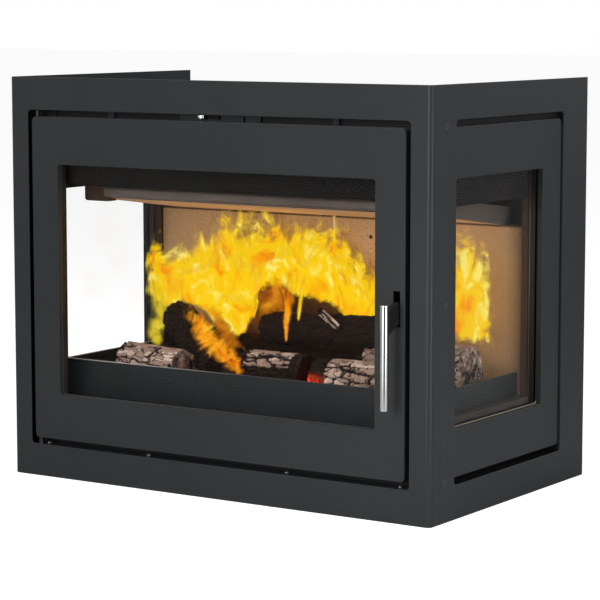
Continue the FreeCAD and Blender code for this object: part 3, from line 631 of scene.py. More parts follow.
@dataclass(frozen=True)
class Vermiculite(Finish):
    """Pressed vermiculite board: tan grains with dark and bright flakes."""

    dark: Colour = (0.2, 0.115, 0.06)
    bright: Colour = (0.45, 0.29, 0.165)
    # Dark colour for soot, and for the painted shade towards the right edge.
    dark_tone: Colour = (0.07, 0.045, 0.03)
    sooted: float = 0.35
    clean_below: bool = False
    seam: float = 0.0
    chipped: Colour = (0.85, 0.68, 0.48)
    pits: tuple[Pair, ...] = ()
    pit_radius: float = 0.0035
    pit_shade: Colour = (0.02, 0.012, 0.008)
    joint_above: float = BEYOND
    joint_over: float = 0.0012
    joint_shade: Colour = (0.05, 0.028, 0.016)
    # Where the painted shade towards the board's right edge starts, and over what width it deepens.
    painted_shade_from: float = BEYOND
    painted_shade_over: float = 0.03
    relief: float = 0.0004

    def detail(self, tree: Tree, shader: Node) -> None:
        """Flakes, pits and soot; a baffle stays clean only where the fire licks it from below.

        Args:
            tree: The material's tree.
            shader: Its shader.
        """
        cells = tree.feed(tree.add("TexVoronoi"), Vector=tree.coords(), Scale=620.0).outputs["Color"]
        flake = tree.feed(tree.add("SeparateColor"), Color=cells).outputs["Red"]
        grain, drift = Groups.grain(tree, 700.0, 7.0)
        base = tree.blend(tree.spread(grain, 0.35, 0.65), self.colour, self.bright)
        spotted = tree.blend(tree.spread(flake, 0.88, 0.99, 0.0, 0.75), base, self.dark)
        soot = tree.times(Groups.sooted(tree, 0.3, 0.48, 9.0), self.sooted)
        tone = tree.blend(soot, spotted, self.dark_tone)
        if self.clean_below:
            facing = tree.axes(tree.add("NewGeometry").outputs["Normal"])["Z"]
            tone = tree.blend(tree.spread(facing, -0.8, -0.5), tone, self.dark_tone)
        tree.feed(shader, Base_Color=self.marked(tree, tone), Normal=tree.bump(grain, 0.5, self.relief),
                  Specular_IOR_Level=0.15)

    def marked(self, tree: Tree, tone: NodeSocket) -> NodeSocket:
        """Add painted shade towards the right edge, a dark joint along the top, a chipped middle seam and
        round pits.

        Args:
            tree: The material's tree.
            tone: The board's colour.

        Returns:
            The colour with its marks.
        """
        place = tree.axes(tree.coords())
        # Painted shade: darken the board towards its right edge.
        painted_shade = tree.spread(place["X"], self.painted_shade_from, self.painted_shade_from + self.painted_shade_over, 0.0, 0.75)
        tone = tree.blend(painted_shade, tone, self.dark_tone)
        joint = tree.spread(place["Z"], self.joint_above, self.joint_above + self.joint_over, 0.0, 0.92)
        tone = tree.blend(joint, tone, self.joint_shade)
        if self.seam:
            aside = tree.maths("ABSOLUTE", place["X"])
            tone = tree.blend(tree.spread(aside, self.seam, self.seam * 1.8, 0.8, 0.0), tone, self.chipped)
        for x, z in self.pits:
            aside = tree.maths("SUBTRACT", place["X"], x)
            above = tree.maths("SUBTRACT", place["Z"], z)
            reach = tree.maths("SQRT", tree.plus(tree.times(aside, aside), tree.times(above, above)))
            hole = tree.spread(reach, self.pit_radius * 0.8, self.pit_radius, 1.0, 0.0)
            tone = tree.blend(hole, tone, self.pit_shade)
        return tone


BARK_MARKS = ("relief", "tint", "char", "ember")


@dataclass(frozen=True)
class Bark(Finish):
    """Cracked bark that chars where the fire has reached it, with embers in the hottest places."""

    pale: Colour = (0.68, 0.53, 0.43)
    brown: Colour = (0.2, 0.12, 0.09)
    # Near-black crack colour: the inner bark's dark and painted shade in the cracks.
    crack_and_shade: Colour = (0.010, 0.007, 0.006)
    char: Colour = (0.006, 0.004, 0.003)
    singed: Colour = (0.034, 0.016, 0.010)
    ember: Colour = (1.0, 0.055, 0.004)
    glow: float = 3.0
    relief: float = 0.0012

    def detail(self, tree: Tree, shader: Node) -> None:
        """Colour from the relief, tint, char and ember marks stored on the mesh.

        Args:
            tree: The material's tree.
            shader: Its shader.
        """
        relief, tint, char, ember = (tree.add("Attribute", attribute_name=name).outputs["Fac"]
                                     for name in BARK_MARKS)
        vector = tree.coords()
        fine = tree.noise(vector, 260.0, 6.0, 0.65)
        broad = tree.noise(vector, 30.0)
        plate = tree.blend(tree.spread(fine, 0.3, 0.7), self.colour, self.pale)
        plate = tree.blend(tree.spread(tint, 0.25, 0.9, 0.75, 0.0), plate, self.brown)
        # Cracks between the plates go near-black: partly painted shade.
        bark = tree.blend(tree.spread(relief, 0.15, 0.6), self.crack_and_shade, plate)
        ragged = tree.plus(char, tree.spread(broad, 0.3, 0.7, -0.2, 0.2))
        burnt = tree.blend(tree.spread(fine, 0.4, 0.8), self.char, self.singed)
        heat = tree.times(ember, tree.spread(fine, 0.35, 0.6))
        tree.feed(shader, Base_Color=tree.blend(tree.spread(ragged, 0.35, 0.65), bark, burnt),
                  Roughness=tree.spread(fine, 0.3, 0.7, 0.7, 0.95), Normal=tree.bump(fine, 0.7, self.relief),
                  Emission_Color=tree.blend(heat, BLACK, self.ember), Emission_Strength=self.glow,
                  Specular_IOR_Level=0.08)


@dataclass(frozen=True)
class FlameLight(Finish):
    """Burning gas: yellow in its body, orange in its folds and thin towards its tips; some sheets go
    near-black below, as painted shade.
    """

    colour: Colour = BLACK
    roughness: float = 1.0
    orange: Colour = (1.0, 0.31, 0.003)
    amber: Colour = (1.0, 0.46, 0.004)
    yellow: Colour = (1.0, 0.63, 0.006)
    core: Colour = (1.0, 0.86, 0.16)
    thin: Colour = (0.66, 0.44, 0.05)
    # Near-black colour, and the share of the sheet's height over which it fades out from the foot: painted
    # shade.
    deep: Colour = BLACK
    painted_shade_reach: float = 0.0
    thickness: float = 0.92
    edge: float = 0.45
    fade: float = 0.5
    full: float = 0.62
    fold: float = 25.0
    swirl: float = 0.07

    def detail(self, tree: Tree, shader: Node) -> None:
        """Colour and thinness along the sheet's own UV map, broken up by rising folds.

        Args:
            tree: The material's tree.
            shader: Its shader.
        """
        sheet = tree.axes(tree.add("TexCoord").outputs["UV"])
        height = sheet["Y"]
        across = tree.maths("ABSOLUTE", tree.maths("SUBTRACT", sheet["X"], 0.5))
        vector = tree.coords((1.0, 1.0, 0.7))
        sway = tree.feed(tree.add("TexNoise"), Vector=vector, Scale=14.0, Detail=2.0).outputs["Color"]
        bend = tree.add("VectorMath", operation="MULTIPLY_ADD")
        bent = tree.fill(bend, sway, (self.swirl, self.swirl, self.swirl), vector).outputs["Vector"]
        folds = tree.noise(bent, self.fold)
        wisps = tree.noise(bent, self.fold * 2.4, 5.0, 0.62)
        clouds = tree.noise(bent, self.fold * 0.6, 2.0, 0.5)
        tip = tree.spread(height, self.fade, 1.0, 1.0, 0.0)
        foot = tree.spread(height, 0.0, 0.12)
        side = tree.spread(across, self.edge, 0.5, 1.0, 0.0)
        body = tree.times(tree.times(tip, foot), side)
        body = tree.plus(body, tree.spread(wisps, 0.3, 0.7, -0.42, 0.3))
        body = tree.plus(body, tree.spread(clouds, 0.35, 0.65, -0.14, 0.12))
        dense = tree.spread(body, 0.06, self.full)
        tone = tree.plus(tree.times(folds, 0.65), tree.times(wisps, 0.35))
        hot = tree.ramp(tone, ((0.38, self.orange), (0.44, self.amber), (0.49, self.yellow),
                               (0.54, self.yellow), (0.61, self.core)))
        # Painted shade: near-black at the sheet's foot, shading into flame colour towards its tips, hiding
        # the bright lining behind.
        if self.painted_shade_reach:
            ragged = tree.plus(height, tree.spread(folds, 0.3, 0.7, -0.2, 0.2))
            hot = tree.blend(tree.spread(ragged, 0.02, self.painted_shade_reach), self.deep, hot)
        tree.feed(shader, Emission_Color=tree.blend(tree.spread(dense, 0.15, 0.7), self.thin, hot),
                  Alpha=tree.times(dense, self.thickness), Emission_Strength=1.0, Specular_IOR_Level=0.0)


@dataclass(frozen=True)
class StageCard(Finish):
    """Dull surface of the studio, which may glow white where it is seen straight or through glass."""

    glow: float = 0.0

    def detail(self, tree: Tree, shader: Node) -> None:
        """No gloss, and the glow.

        Args:
            tree: The material's tree.
            shader: Its shader.
        """
        tree.feed(shader, Specular_IOR_Level=0.0)
        if self.glow:
            path = tree.add("LightPath").outputs
            seen = tree.maths("MAXIMUM", path["Is Camera Ray"], path["Is Transmission Ray"])
            tree.feed(shader, Emission_Color=WHITE, Emission_Strength=tree.times(seen, self.glow))


class Finishes:
    """Every finish on the insert, and the one for each material slot of the frame."""

    SATIN = StovePaint("satin_black_paint", (0.019, 0.0212, 0.0220), 0.34)
    MATT = StovePaint("matt_black_paint", (0.005, 0.005, 0.0054), 0.65, pale=(0.009, 0.009, 0.0096),
                      specular=0.2)
    HEATED = HeatedSteel("heat_browned_steel", (0.013, 0.010, 0.009), 0.55)
    # The thin pale band between x=0.3519 and 0.3524 is a painted highlight on the reveal's inner edge.
    REVEAL = HeatedSteel("dark_reveal_steel", (0.012, 0.010, 0.009), browned=(0.02, 0.014, 0.012),
                         painted_highlight_band=(0.3519, 0.3524))
    # Near-black steel, darker than the other steel round the fire.
    NEAR_BLACK_STEEL = HeatedSteel("soot_black_steel", (0.004, 0.004, 0.004), 0.85, browned=(0.007, 0.006, 0.005),
                        gloss=0.1)
    NOSING = HeatedSteel("grey_brown_nosing", (0.085, 0.066, 0.056), 0.6, browned=(0.06, 0.043, 0.034),
                         sooted=0.3)
    COVER = HeatedSteel("dark_brown_cover", (0.030, 0.015, 0.010), 0.7, browned=(0.055, 0.027, 0.016),
                        sooted=0.3, gloss=0.15)
    # Its pale band along the upper edge, above z=0.1755, is a painted highlight.
    IRON = CastIron("sand_cast_iron", (0.0105, 0.012, 0.0125), 0.55)
    STAINLESS = PolishedSteel("polished_stainless", (0.56, 0.56, 0.55), 0.1)
    BLACKED = PolishedSteel("blackened_steel", (0.022, 0.022, 0.022), 0.38, bright=(0.04, 0.04, 0.04))
    ZINC = PolishedSteel("zinc_plated_steel", (0.09, 0.09, 0.088), 0.42, bright=(0.15, 0.15, 0.146))
    GLASS = FireGlass("clear_ceramic_glass", (0.976, 0.976, 0.976), 0.0)
    TAPE = WovenFibre("cream_gasket_tape", (0.72, 0.66, 0.5), 0.9, clean_to=0.133)
    DARK_TAPE = WovenFibre("black_gasket_tape", (0.05, 0.05, 0.048), 0.9, shade=(0.008, 0.008, 0.008))
    ROPE = WovenFibre("charcoal_rope", (0.09, 0.09, 0.09), 0.9, shade=(0.02, 0.02, 0.02), yarn=500.0)
    # The board darkens from x=0.308 to its right edge: painted shade.
    BOARD = Vermiculite("vermiculite_board", (0.29, 0.168, 0.078), 0.9, seam=0.0011,
                        pits=((0.0683, 0.3675), (0.0314, 0.2971)), joint_above=0.3945, painted_shade_from=0.308)
    BAFFLE = Vermiculite("smoked_baffle_board", (0.33, 0.19, 0.095), 0.9, dark_tone=(0.075, 0.06, 0.052),
                         sooted=0.1, clean_below=True)
    # Near-black hearth slabs, much darker than the board.
    HEARTH = Vermiculite("ash_grey_hearth", (0.026, 0.021, 0.019), 0.95, dark=(0.010, 0.008, 0.007),
                         bright=(0.05, 0.042, 0.038))
    BARK = Bark("cracked_bark", (0.36, 0.25, 0.19), 0.85)
    FLAME = FlameLight("flame_light")
    HAZE = FlameLight("thin_flame", orange=(0.6, 0.44, 0.02), amber=(0.75, 0.56, 0.02),
                      yellow=(0.9, 0.68, 0.03), core=(1.0, 0.82, 0.06), thin=(0.3, 0.27, 0.03),
                      thickness=0.75, edge=0.1, fade=0.55, full=1.0)
    FLARE = FlameLight("orange_flare", orange=(0.62, 0.13, 0.003), amber=(0.9, 0.25, 0.005),
                       yellow=(1.0, 0.36, 0.008), core=(1.0, 0.55, 0.03), thin=(0.5, 0.15, 0.006),
                       thickness=0.94, edge=0.1, fade=0.6, full=0.9, fold=30.0)
    SPARK = FlameLight("yellow_flare", orange=(1.0, 0.45, 0.01), thin=(0.5, 0.2, 0.01), edge=0.06, full=0.8,
                       fold=30.0)
    # Near-black painted shade over most of its height, with dim orange flame at its tips.
    DULL = FlameLight("dull_flare", orange=(0.4, 0.085, 0.003), amber=(0.62, 0.16, 0.004),
                      yellow=(0.85, 0.26, 0.006), core=(1.0, 0.42, 0.01), thin=(0.5, 0.16, 0.006),
                      deep=(0.02, 0.008, 0.005), painted_shade_reach=0.95, edge=0.05, fade=0.7, full=0.7, fold=40.0)
    # Dark, faintly glowing sheet that stands for charred wood and painted shade between the logs.
    CHAR_AND_SHADE = FlameLight("smouldering_gas", orange=(0.018, 0.008, 0.005), amber=(0.035, 0.012, 0.006),
                          yellow=(0.06, 0.018, 0.006), core=(0.13, 0.035, 0.006), thin=(0.42, 0.14, 0.008),
                          thickness=0.98, edge=0.44, fade=0.78, full=0.5, fold=22.0)
    FLOOR = StageCard("pale_floor", (0.6, 0.6, 0.6), 0.9, glow=0.75)
    CARD = StageCard("dull_black_card", (0.02, 0.02, 0.02), 1.0)

    BY_SLOT = {
        "surround_paint": SATIN, "body_paint": MATT, "heat_steel": HEATED, "cast_iron": IRON,
        "stainless": STAINLESS, "zinc_steel": ZINC, "fire_glass": GLASS, "gasket_tape": TAPE,
        "rope_seal": ROPE, "vermiculite": BOARD, "firewood": BARK,
    }


class Assembly:
    """A group of pieces that is dressed, and partly modelled anew, together."""

    looks: dict[str, Finish] = {}

    def build(self) -> list[Object]:
        """Model the group's own pieces; a group of plain nodes has none."""
        return []

    def dress(self) -> None:
        """Give the group's nodes a finish other than their slot's."""
        for node, finish in self.looks.items():
            finish.dress(frame["nodes"][node])

    @staticmethod
    def enter(piece: Object, finish: Finish, body: str, slot: str, node: str = "") -> Object:
        """Finish a new piece, hang it on its body and hide the node that it stands for.

        Args:
            piece: The new piece.
            finish: Its finish.
            body: Body that it moves with.
            slot: Material slot of the record; not used.
            node: Node of the frame that it stands for, if any.

        Returns:
            The same piece.
        """
        finish.dress(piece)
        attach(piece, body)
        if node:
            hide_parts(node)
        return piece


@dataclass
class Handle(Assembly):
    """The door's polished bar, turned with a groove near its top."""

    radius: float = 6.0
    chamfer: float = 0.9
    groove_drop: float = 4.0
    groove_width: float = 1.0
    groove_cut: float = 0.5
    sides: int = 72

    def build(self) -> list[Object]:
        """Turn the bar in place of its plain solid.

        Returns:
            The bar.
        """
        low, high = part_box("handle_bar")
        bar = Bench.cylinder("polished_bar", self.sides, self.radius * MM, high.z - low.z, (low + high) / 2)
        foot = high.z - self.groove_drop * MM
        head = foot + self.groove_width * MM
        for height in (foot, head):
            Bench.pick(bar, Element.FACE, lambda centre, normal: True)
            bpy.ops.mesh.bisect(plane_co=(0, 0, height), plane_no=(0, 0, 1))
        Bench.pick(bar, Element.FACE, lambda centre, normal: abs(normal.z) < 0.5 and foot < centre.z < head)
        bpy.ops.mesh.extrude_region_shrink_fatten(TRANSFORM_OT_shrink_fatten={"value": -self.groove_cut * MM})
        Bench.pick(bar, Element.EDGE, lambda a, b: abs(a.z - b.z) < CLOSE
                   and (abs(a.z - low.z) < CLOSE or abs(a.z - high.z) < CLOSE))
        bpy.ops.mesh.bevel(offset=self.chamfer * MM, segments=3)
        Bench.done(bar)
        return [self.enter(bar, Finishes.STAINLESS, "handle", "stainless", "handle_bar")]


@dataclass
class AirControl(Assembly):
    """The polished knob that slides the air shutter."""

    bevel: float = 1.2
    sides: int = 64

    def build(self) -> list[Object]:
        """Turn the knob with softly rounded rims.

        Returns:
            The knob.
        """
        low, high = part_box("air_knob")
        size = high - low
        knob = Bench.cylinder("polished_knob", self.sides, size.x / 2, size.z, (low + high) / 2)
        Bench.pick(knob, Element.EDGE, lambda a, b: abs(a.z - b.z) < CLOSE)
        bpy.ops.mesh.bevel(offset=self.bevel * MM, segments=4)
        Bench.done(knob)
        return [self.enter(knob, Finishes.STAINLESS, "air_control", "stainless", "air_knob")]


@dataclass
class Fasteners(Assembly):
    """Screws with hexagonal sockets, in the surround's sides and under the door."""

    side_depth: float = 41.0
    side_heights: tuple[float, ...] = (58.5, 311.0, 561.5)
    side_radius: float = 3.8
    side_thick: float = 1.5
    side_rim: float = 0.25
    side_sunk: float = 0.05
    base_places: tuple[float, ...] = (-320.0, -126.0, 126.0, 320.0)
    base_depth: float = 16.0
    base_radius: float = 4.2
    base_thick: float = 2.4
    base_rim: float = 0.9
    sides: int = 48
    socket: float = 0.48
    socket_cut: float = 1.1

    def build(self) -> list[Object]:
        """Model one screw of each kind and copy it to its places.

        Returns:
            The screws.
        """
        side_places = []
        for side, panel in ((-1, "surround_side_left"), (1, "surround_side_right")):
            low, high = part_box(panel)
            turn = Matrix.Rotation(side * math.pi / 2, 4, "Y")
            for height in self.side_heights:
                place = at(0, self.side_depth, height)
                place.x = (high.x if side > 0 else low.x) - side * self.side_sunk * MM
                side_places.append(Matrix.Translation(place) @ turn)
        model = self.screw("side_screw", self.side_radius, self.side_thick, self.side_rim)
        pieces = self.repeat(model, side_places, "surround_side_screws")
        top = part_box("surround_base_screws")[1].z / MM
        base_places = [Matrix.Translation(at(x, self.base_depth, top)) for x in self.base_places]
        model = self.screw("base_screw", self.base_radius, self.base_thick, self.base_rim)
        return pieces + self.repeat(model, base_places, "surround_base_screws")

    def screw(self, name: str, radius: float, thick: float, rim: float) -> Object:
        """Screw head whose top lies at height 0, with a hexagonal socket.

        Args:
            name: Name of the model.
            radius: Radius of the head in millimetres.
            thick: Height of the head in millimetres.
            rim: Rounding of the rim in millimetres.

        Returns:
            The screw head.
        """
        def is_top(centre: Vector, normal: Vector) -> bool:
            """Whether a face is the one in the middle of the top."""
            return normal.z > 0.99 and centre.xy.length < CLOSE

        head = Bench.cylinder(name, self.sides, radius * MM, thick * MM, (0, 0, -thick * MM / 2))
        Bench.pick(head, Element.EDGE, lambda a, b: abs(a.z) < CLOSE and abs(b.z) < CLOSE)
        bpy.ops.mesh.bevel(offset=rim * MM, segments=3)
        Bench.pick(head, Element.FACE, is_top)
        reach = radius * self.socket
        bpy.ops.mesh.inset(thickness=(radius - rim - reach) * MM)
        bpy.ops.object.mode_set(mode="OBJECT")
        inner = next(face for face in head.data.polygons if is_top(face.center, face.normal))
        for index in inner.vertices:
            corner = head.data.vertices[index].co
            angle = math.atan2(corner.y, corner.x) % (math.pi / 3)
            flat = reach * MM * math.cos(math.pi / 6) / math.cos(angle - math.pi / 6)
            corner.xy = corner.xy.normalized() * flat
        Bench.pick(head, Element.FACE, is_top)
        bpy.ops.mesh.extrude_region_move(TRANSFORM_OT_translate={"value": (0, 0, -self.socket_cut * MM)})
        Bench.done(head, 30.0)
        return head

    def repeat(self, model: Object, places: Iterable[Matrix], node: str) -> list[Object]:
        """Copy a model to its places, each copy with its own mesh, and take the model away.

        Args:
            model: The screw to copy.
            places: Where the copies go.
            node: Node of the frame that they stand for.

        Returns:
            The copies.
        """
        pieces = []
        for place in places:
            piece = bpy.data.objects.new(model.name, model.data.copy())
            bpy.context.scene.collection.objects.link(piece)
            piece.data.transform(place)
            pieces.append(self.enter(piece, Finishes.ZINC, "root", "zinc_steel", node))
        bpy.data.objects.remove(model)
        return pieces


@dataclass
class DoorSeal(Assembly):
    """Braided rope round the back of the door."""

    half_wide: float = 5.0
    fit: float = 0.98
    corner: float = 9.0
    around: int = 900
    section: int = 20
    strands: int = 220
    relief: float = 0.35

    def build(self) -> list[Object]:
        """Bend a torus into the door's rounded rectangle and braid its skin.

        Returns:
            The rope.
        """
        low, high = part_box("door_rope_seal")
        middle, half = (low + high) / 2, (high - low) / 2
        half_wide = self.half_wide * MM
        Bench.clear()
        bpy.ops.mesh.primitive_torus_add(major_segments=self.around, minor_segments=self.section,
                                         major_radius=1.0, minor_radius=0.25)
        rope = Bench.take("braided_rope_seal")
        for vertex in rope.data.vertices:
            share = math.atan2(vertex.co.y, vertex.co.x) / (2 * math.pi) % 1.0
            roll = math.atan2(vertex.co.z, vertex.co.xy.length - 1.0)
            place, outward = self.track(share, half.x - half_wide, half.z - half_wide, self.corner * MM)
            phase = self.strands * math.pi * share
            braid = abs(math.sin(phase + roll)) * abs(math.sin(phase - roll))
            swell = self.fit - self.relief * MM / half.y * (1.0 - braid)
            side = place + outward * (half_wide * swell * math.cos(roll))
            vertex.co = (middle.x + side.x, middle.y + half.y * swell * math.sin(roll), middle.z + side.y)
        Bench.outward(rope)
        Bench.done(rope, 60.0)
        return [self.enter(rope, Finishes.ROPE, "door", "rope_seal", "door_rope_seal")]

    @staticmethod
    def track(share: float, half_x: float, half_z: float, corner: float) -> tuple[Vector, Vector]:
        """Place and outward direction at a share of the way round a rounded rectangle.

        Args:
            share: Share of the way round, from 0 to 1.
            half_x: Half the rectangle's width.
            half_z: Half its height.
            corner: Radius of its corners.

        Returns:
            The place and the outward direction, both as (x, z).
        """
        straight_x, straight_z = 2 * (half_x - corner), 2 * (half_z - corner)
        bend = math.pi / 2 * corner
        left = share * (2 * straight_x + 2 * straight_z + 4 * bend)
        heading = 0.0
        place = Vector((half_x, -straight_z / 2))
        for straight in (straight_z, straight_x, straight_z, straight_x):
            outward = Vector((math.cos(heading), math.sin(heading)))
            along = Vector((-outward.y, outward.x))
            if left <= straight:
                return place + along * left, outward
            place += along * straight
            left -= straight
            if left <= bend:
                turn = heading + left / corner
                centre = place - outward * corner
                direction = Vector((math.cos(turn), math.sin(turn)))
                return centre + direction * corner, direction
            place += (along - outward) * corner
            left -= bend
            heading += math.pi / 2
        return place, outward


@dataclass
class Firebox(Assembly):
    """Linings, baffle and sheets inside the firebox."""

    looks = {
        "hearth_slab_left": Finishes.HEARTH, "hearth_slab_right": Finishes.HEARTH,
        "baffle": Finishes.BAFFLE, "baffle_rail": Finishes.NOSING, "baffle_brackets": Finishes.COVER,
        "corner_linings": Finishes.COVER, "front_air_deflector": Finishes.NEAR_BLACK_STEEL,
        "side_air_deflectors": Finishes.NEAR_BLACK_STEEL, "door_gasket": Finishes.DARK_TAPE,
        "side_wall_left": Finishes.REVEAL, "side_wall_right": Finishes.REVEAL, "front_posts": Finishes.NEAR_BLACK_STEEL,
    }


@dataclass
class Casing(Assembly):
    """Plates behind the surround's gap, and the lips that stand on the top plate round its open sides."""

    looks = {
        "air_guide_plates": Finishes.SATIN, "surround_brackets": Finishes.SATIN,
        "hinge_pin_upper": Finishes.BLACKED, "hinge_pin_lower": Finishes.BLACKED,
    }
    half: float = 366.0
    thick: float = 1.5
    front: float = 34.6
    back: float = 425.0
    foot: float = 555.0
    top: float = 588.0
    rounding: float = 0.3

    def build(self) -> list[Object]:
        """Stand one lip along the front and one along each side.

        Returns:
            The three lips.
        """
        inner = self.front + self.thick
        runs = [("casing_lip_front", (-self.half, self.front), (self.half, inner))]
        for name, side in (("casing_lip_left", -1), ("casing_lip_right", 1)):
            edges = sorted((side * self.half, side * (self.half - self.thick)))
            runs.append((name, (edges[0], inner), (edges[1], self.back)))
        lips = [self.lip(name, at(*low, self.foot), at(*high, self.top)) for name, low, high in runs]
        return [self.enter(lip, Finishes.MATT, "root", "body_paint") for lip in lips]

    def lip(self, name: str, low: Vector, high: Vector) -> Object:
        """One upright strip of sheet with softly broken upper edges.

        Args:
            name: Name of the strip.
            low: Its lowest corner.
            high: Its highest corner.

        Returns:
            The strip.
        """
        Bench.clear()
        bpy.ops.mesh.primitive_cube_add(size=1.0, location=(low + high) / 2)
        strip = Bench.take(name)
        strip.scale = high - low
        Bench.settle(strip)
        Bench.pick(strip, Element.EDGE, lambda a, b: abs(a.z - high.z) < CLOSE and abs(b.z - high.z) < CLOSE)
        bpy.ops.mesh.bevel(offset=self.rounding * MM, segments=2)
        Bench.done(strip)
        return strip


class Burn(Enum):
    """How far the fire has taken a log."""

    FRESH = 0.0
    SINGED = 0.45
    CHARRED = 1.0


@dataclass(frozen=True)
class LogSpec:
    """One split log: its two ends as (x, depth, z) in millimetres, and how it looks.

    char_start and char_end are the shares of its length that are charred at each end, and ember_start the
    share that still glows.
    """

    name: str
    start: Point
    end: Point
    radius: float
    taper: float
    seed: int
    burn: Burn
    char_start: float = 0.03
    char_end: float = 0.03
    ember_start: float = 0.0


HEARTH_Z = 140.0
LOGS = (
    LogSpec("log_front_left", (-254, 132, HEARTH_Z + 32.0), (-132, 115, HEARTH_Z + 32.0),
            33, 0.05, 3, Burn.FRESH, 0.02, 0.0),
    LogSpec("log_front_middle", (-50, 128, HEARTH_Z + 33.6), (80, 140, HEARTH_Z + 33.6),
            38, 0.04, 5, Burn.SINGED, 0.28, 0.14),
    LogSpec("log_front_right", (110, 124, HEARTH_Z + 32.8), (285, 138, HEARTH_Z + 32.8),
            37, 0.05, 8, Burn.FRESH, 0.15, 0.0, 0.2),
    LogSpec("log_back", (-285, 285, HEARTH_Z + 37.6), (120, 295, HEARTH_Z + 37.6),
            40, 0.06, 13, Burn.CHARRED),
    LogSpec("log_right", (150, 226, HEARTH_Z + 46.0), (316, 218, HEARTH_Z + 46.0),
            47, 0.04, 21, Burn.FRESH, 0.0, 0.0),
    LogSpec("log_leaning", (-240, 248, 229.9), (-92, 156, 168.2), 32, 0.05, 34, Burn.CHARRED),
    LogSpec("log_upper", (-60, 250, 226.1), (240, 150, 249.2), 28, 0.06, 55, Burn.CHARRED),
    LogSpec("branch_stub", (84, 168, 270), (121, 163, 247), 6.5, 0.05, 61, Burn.FRESH, 0.1, 0.0),
)


class Skin(NamedTuple):
    """What the bark or the cut wood does at one point of a log."""

    scale: float
    relief: float
    rough: float
    cell: Vector
    rise: float = 0.0


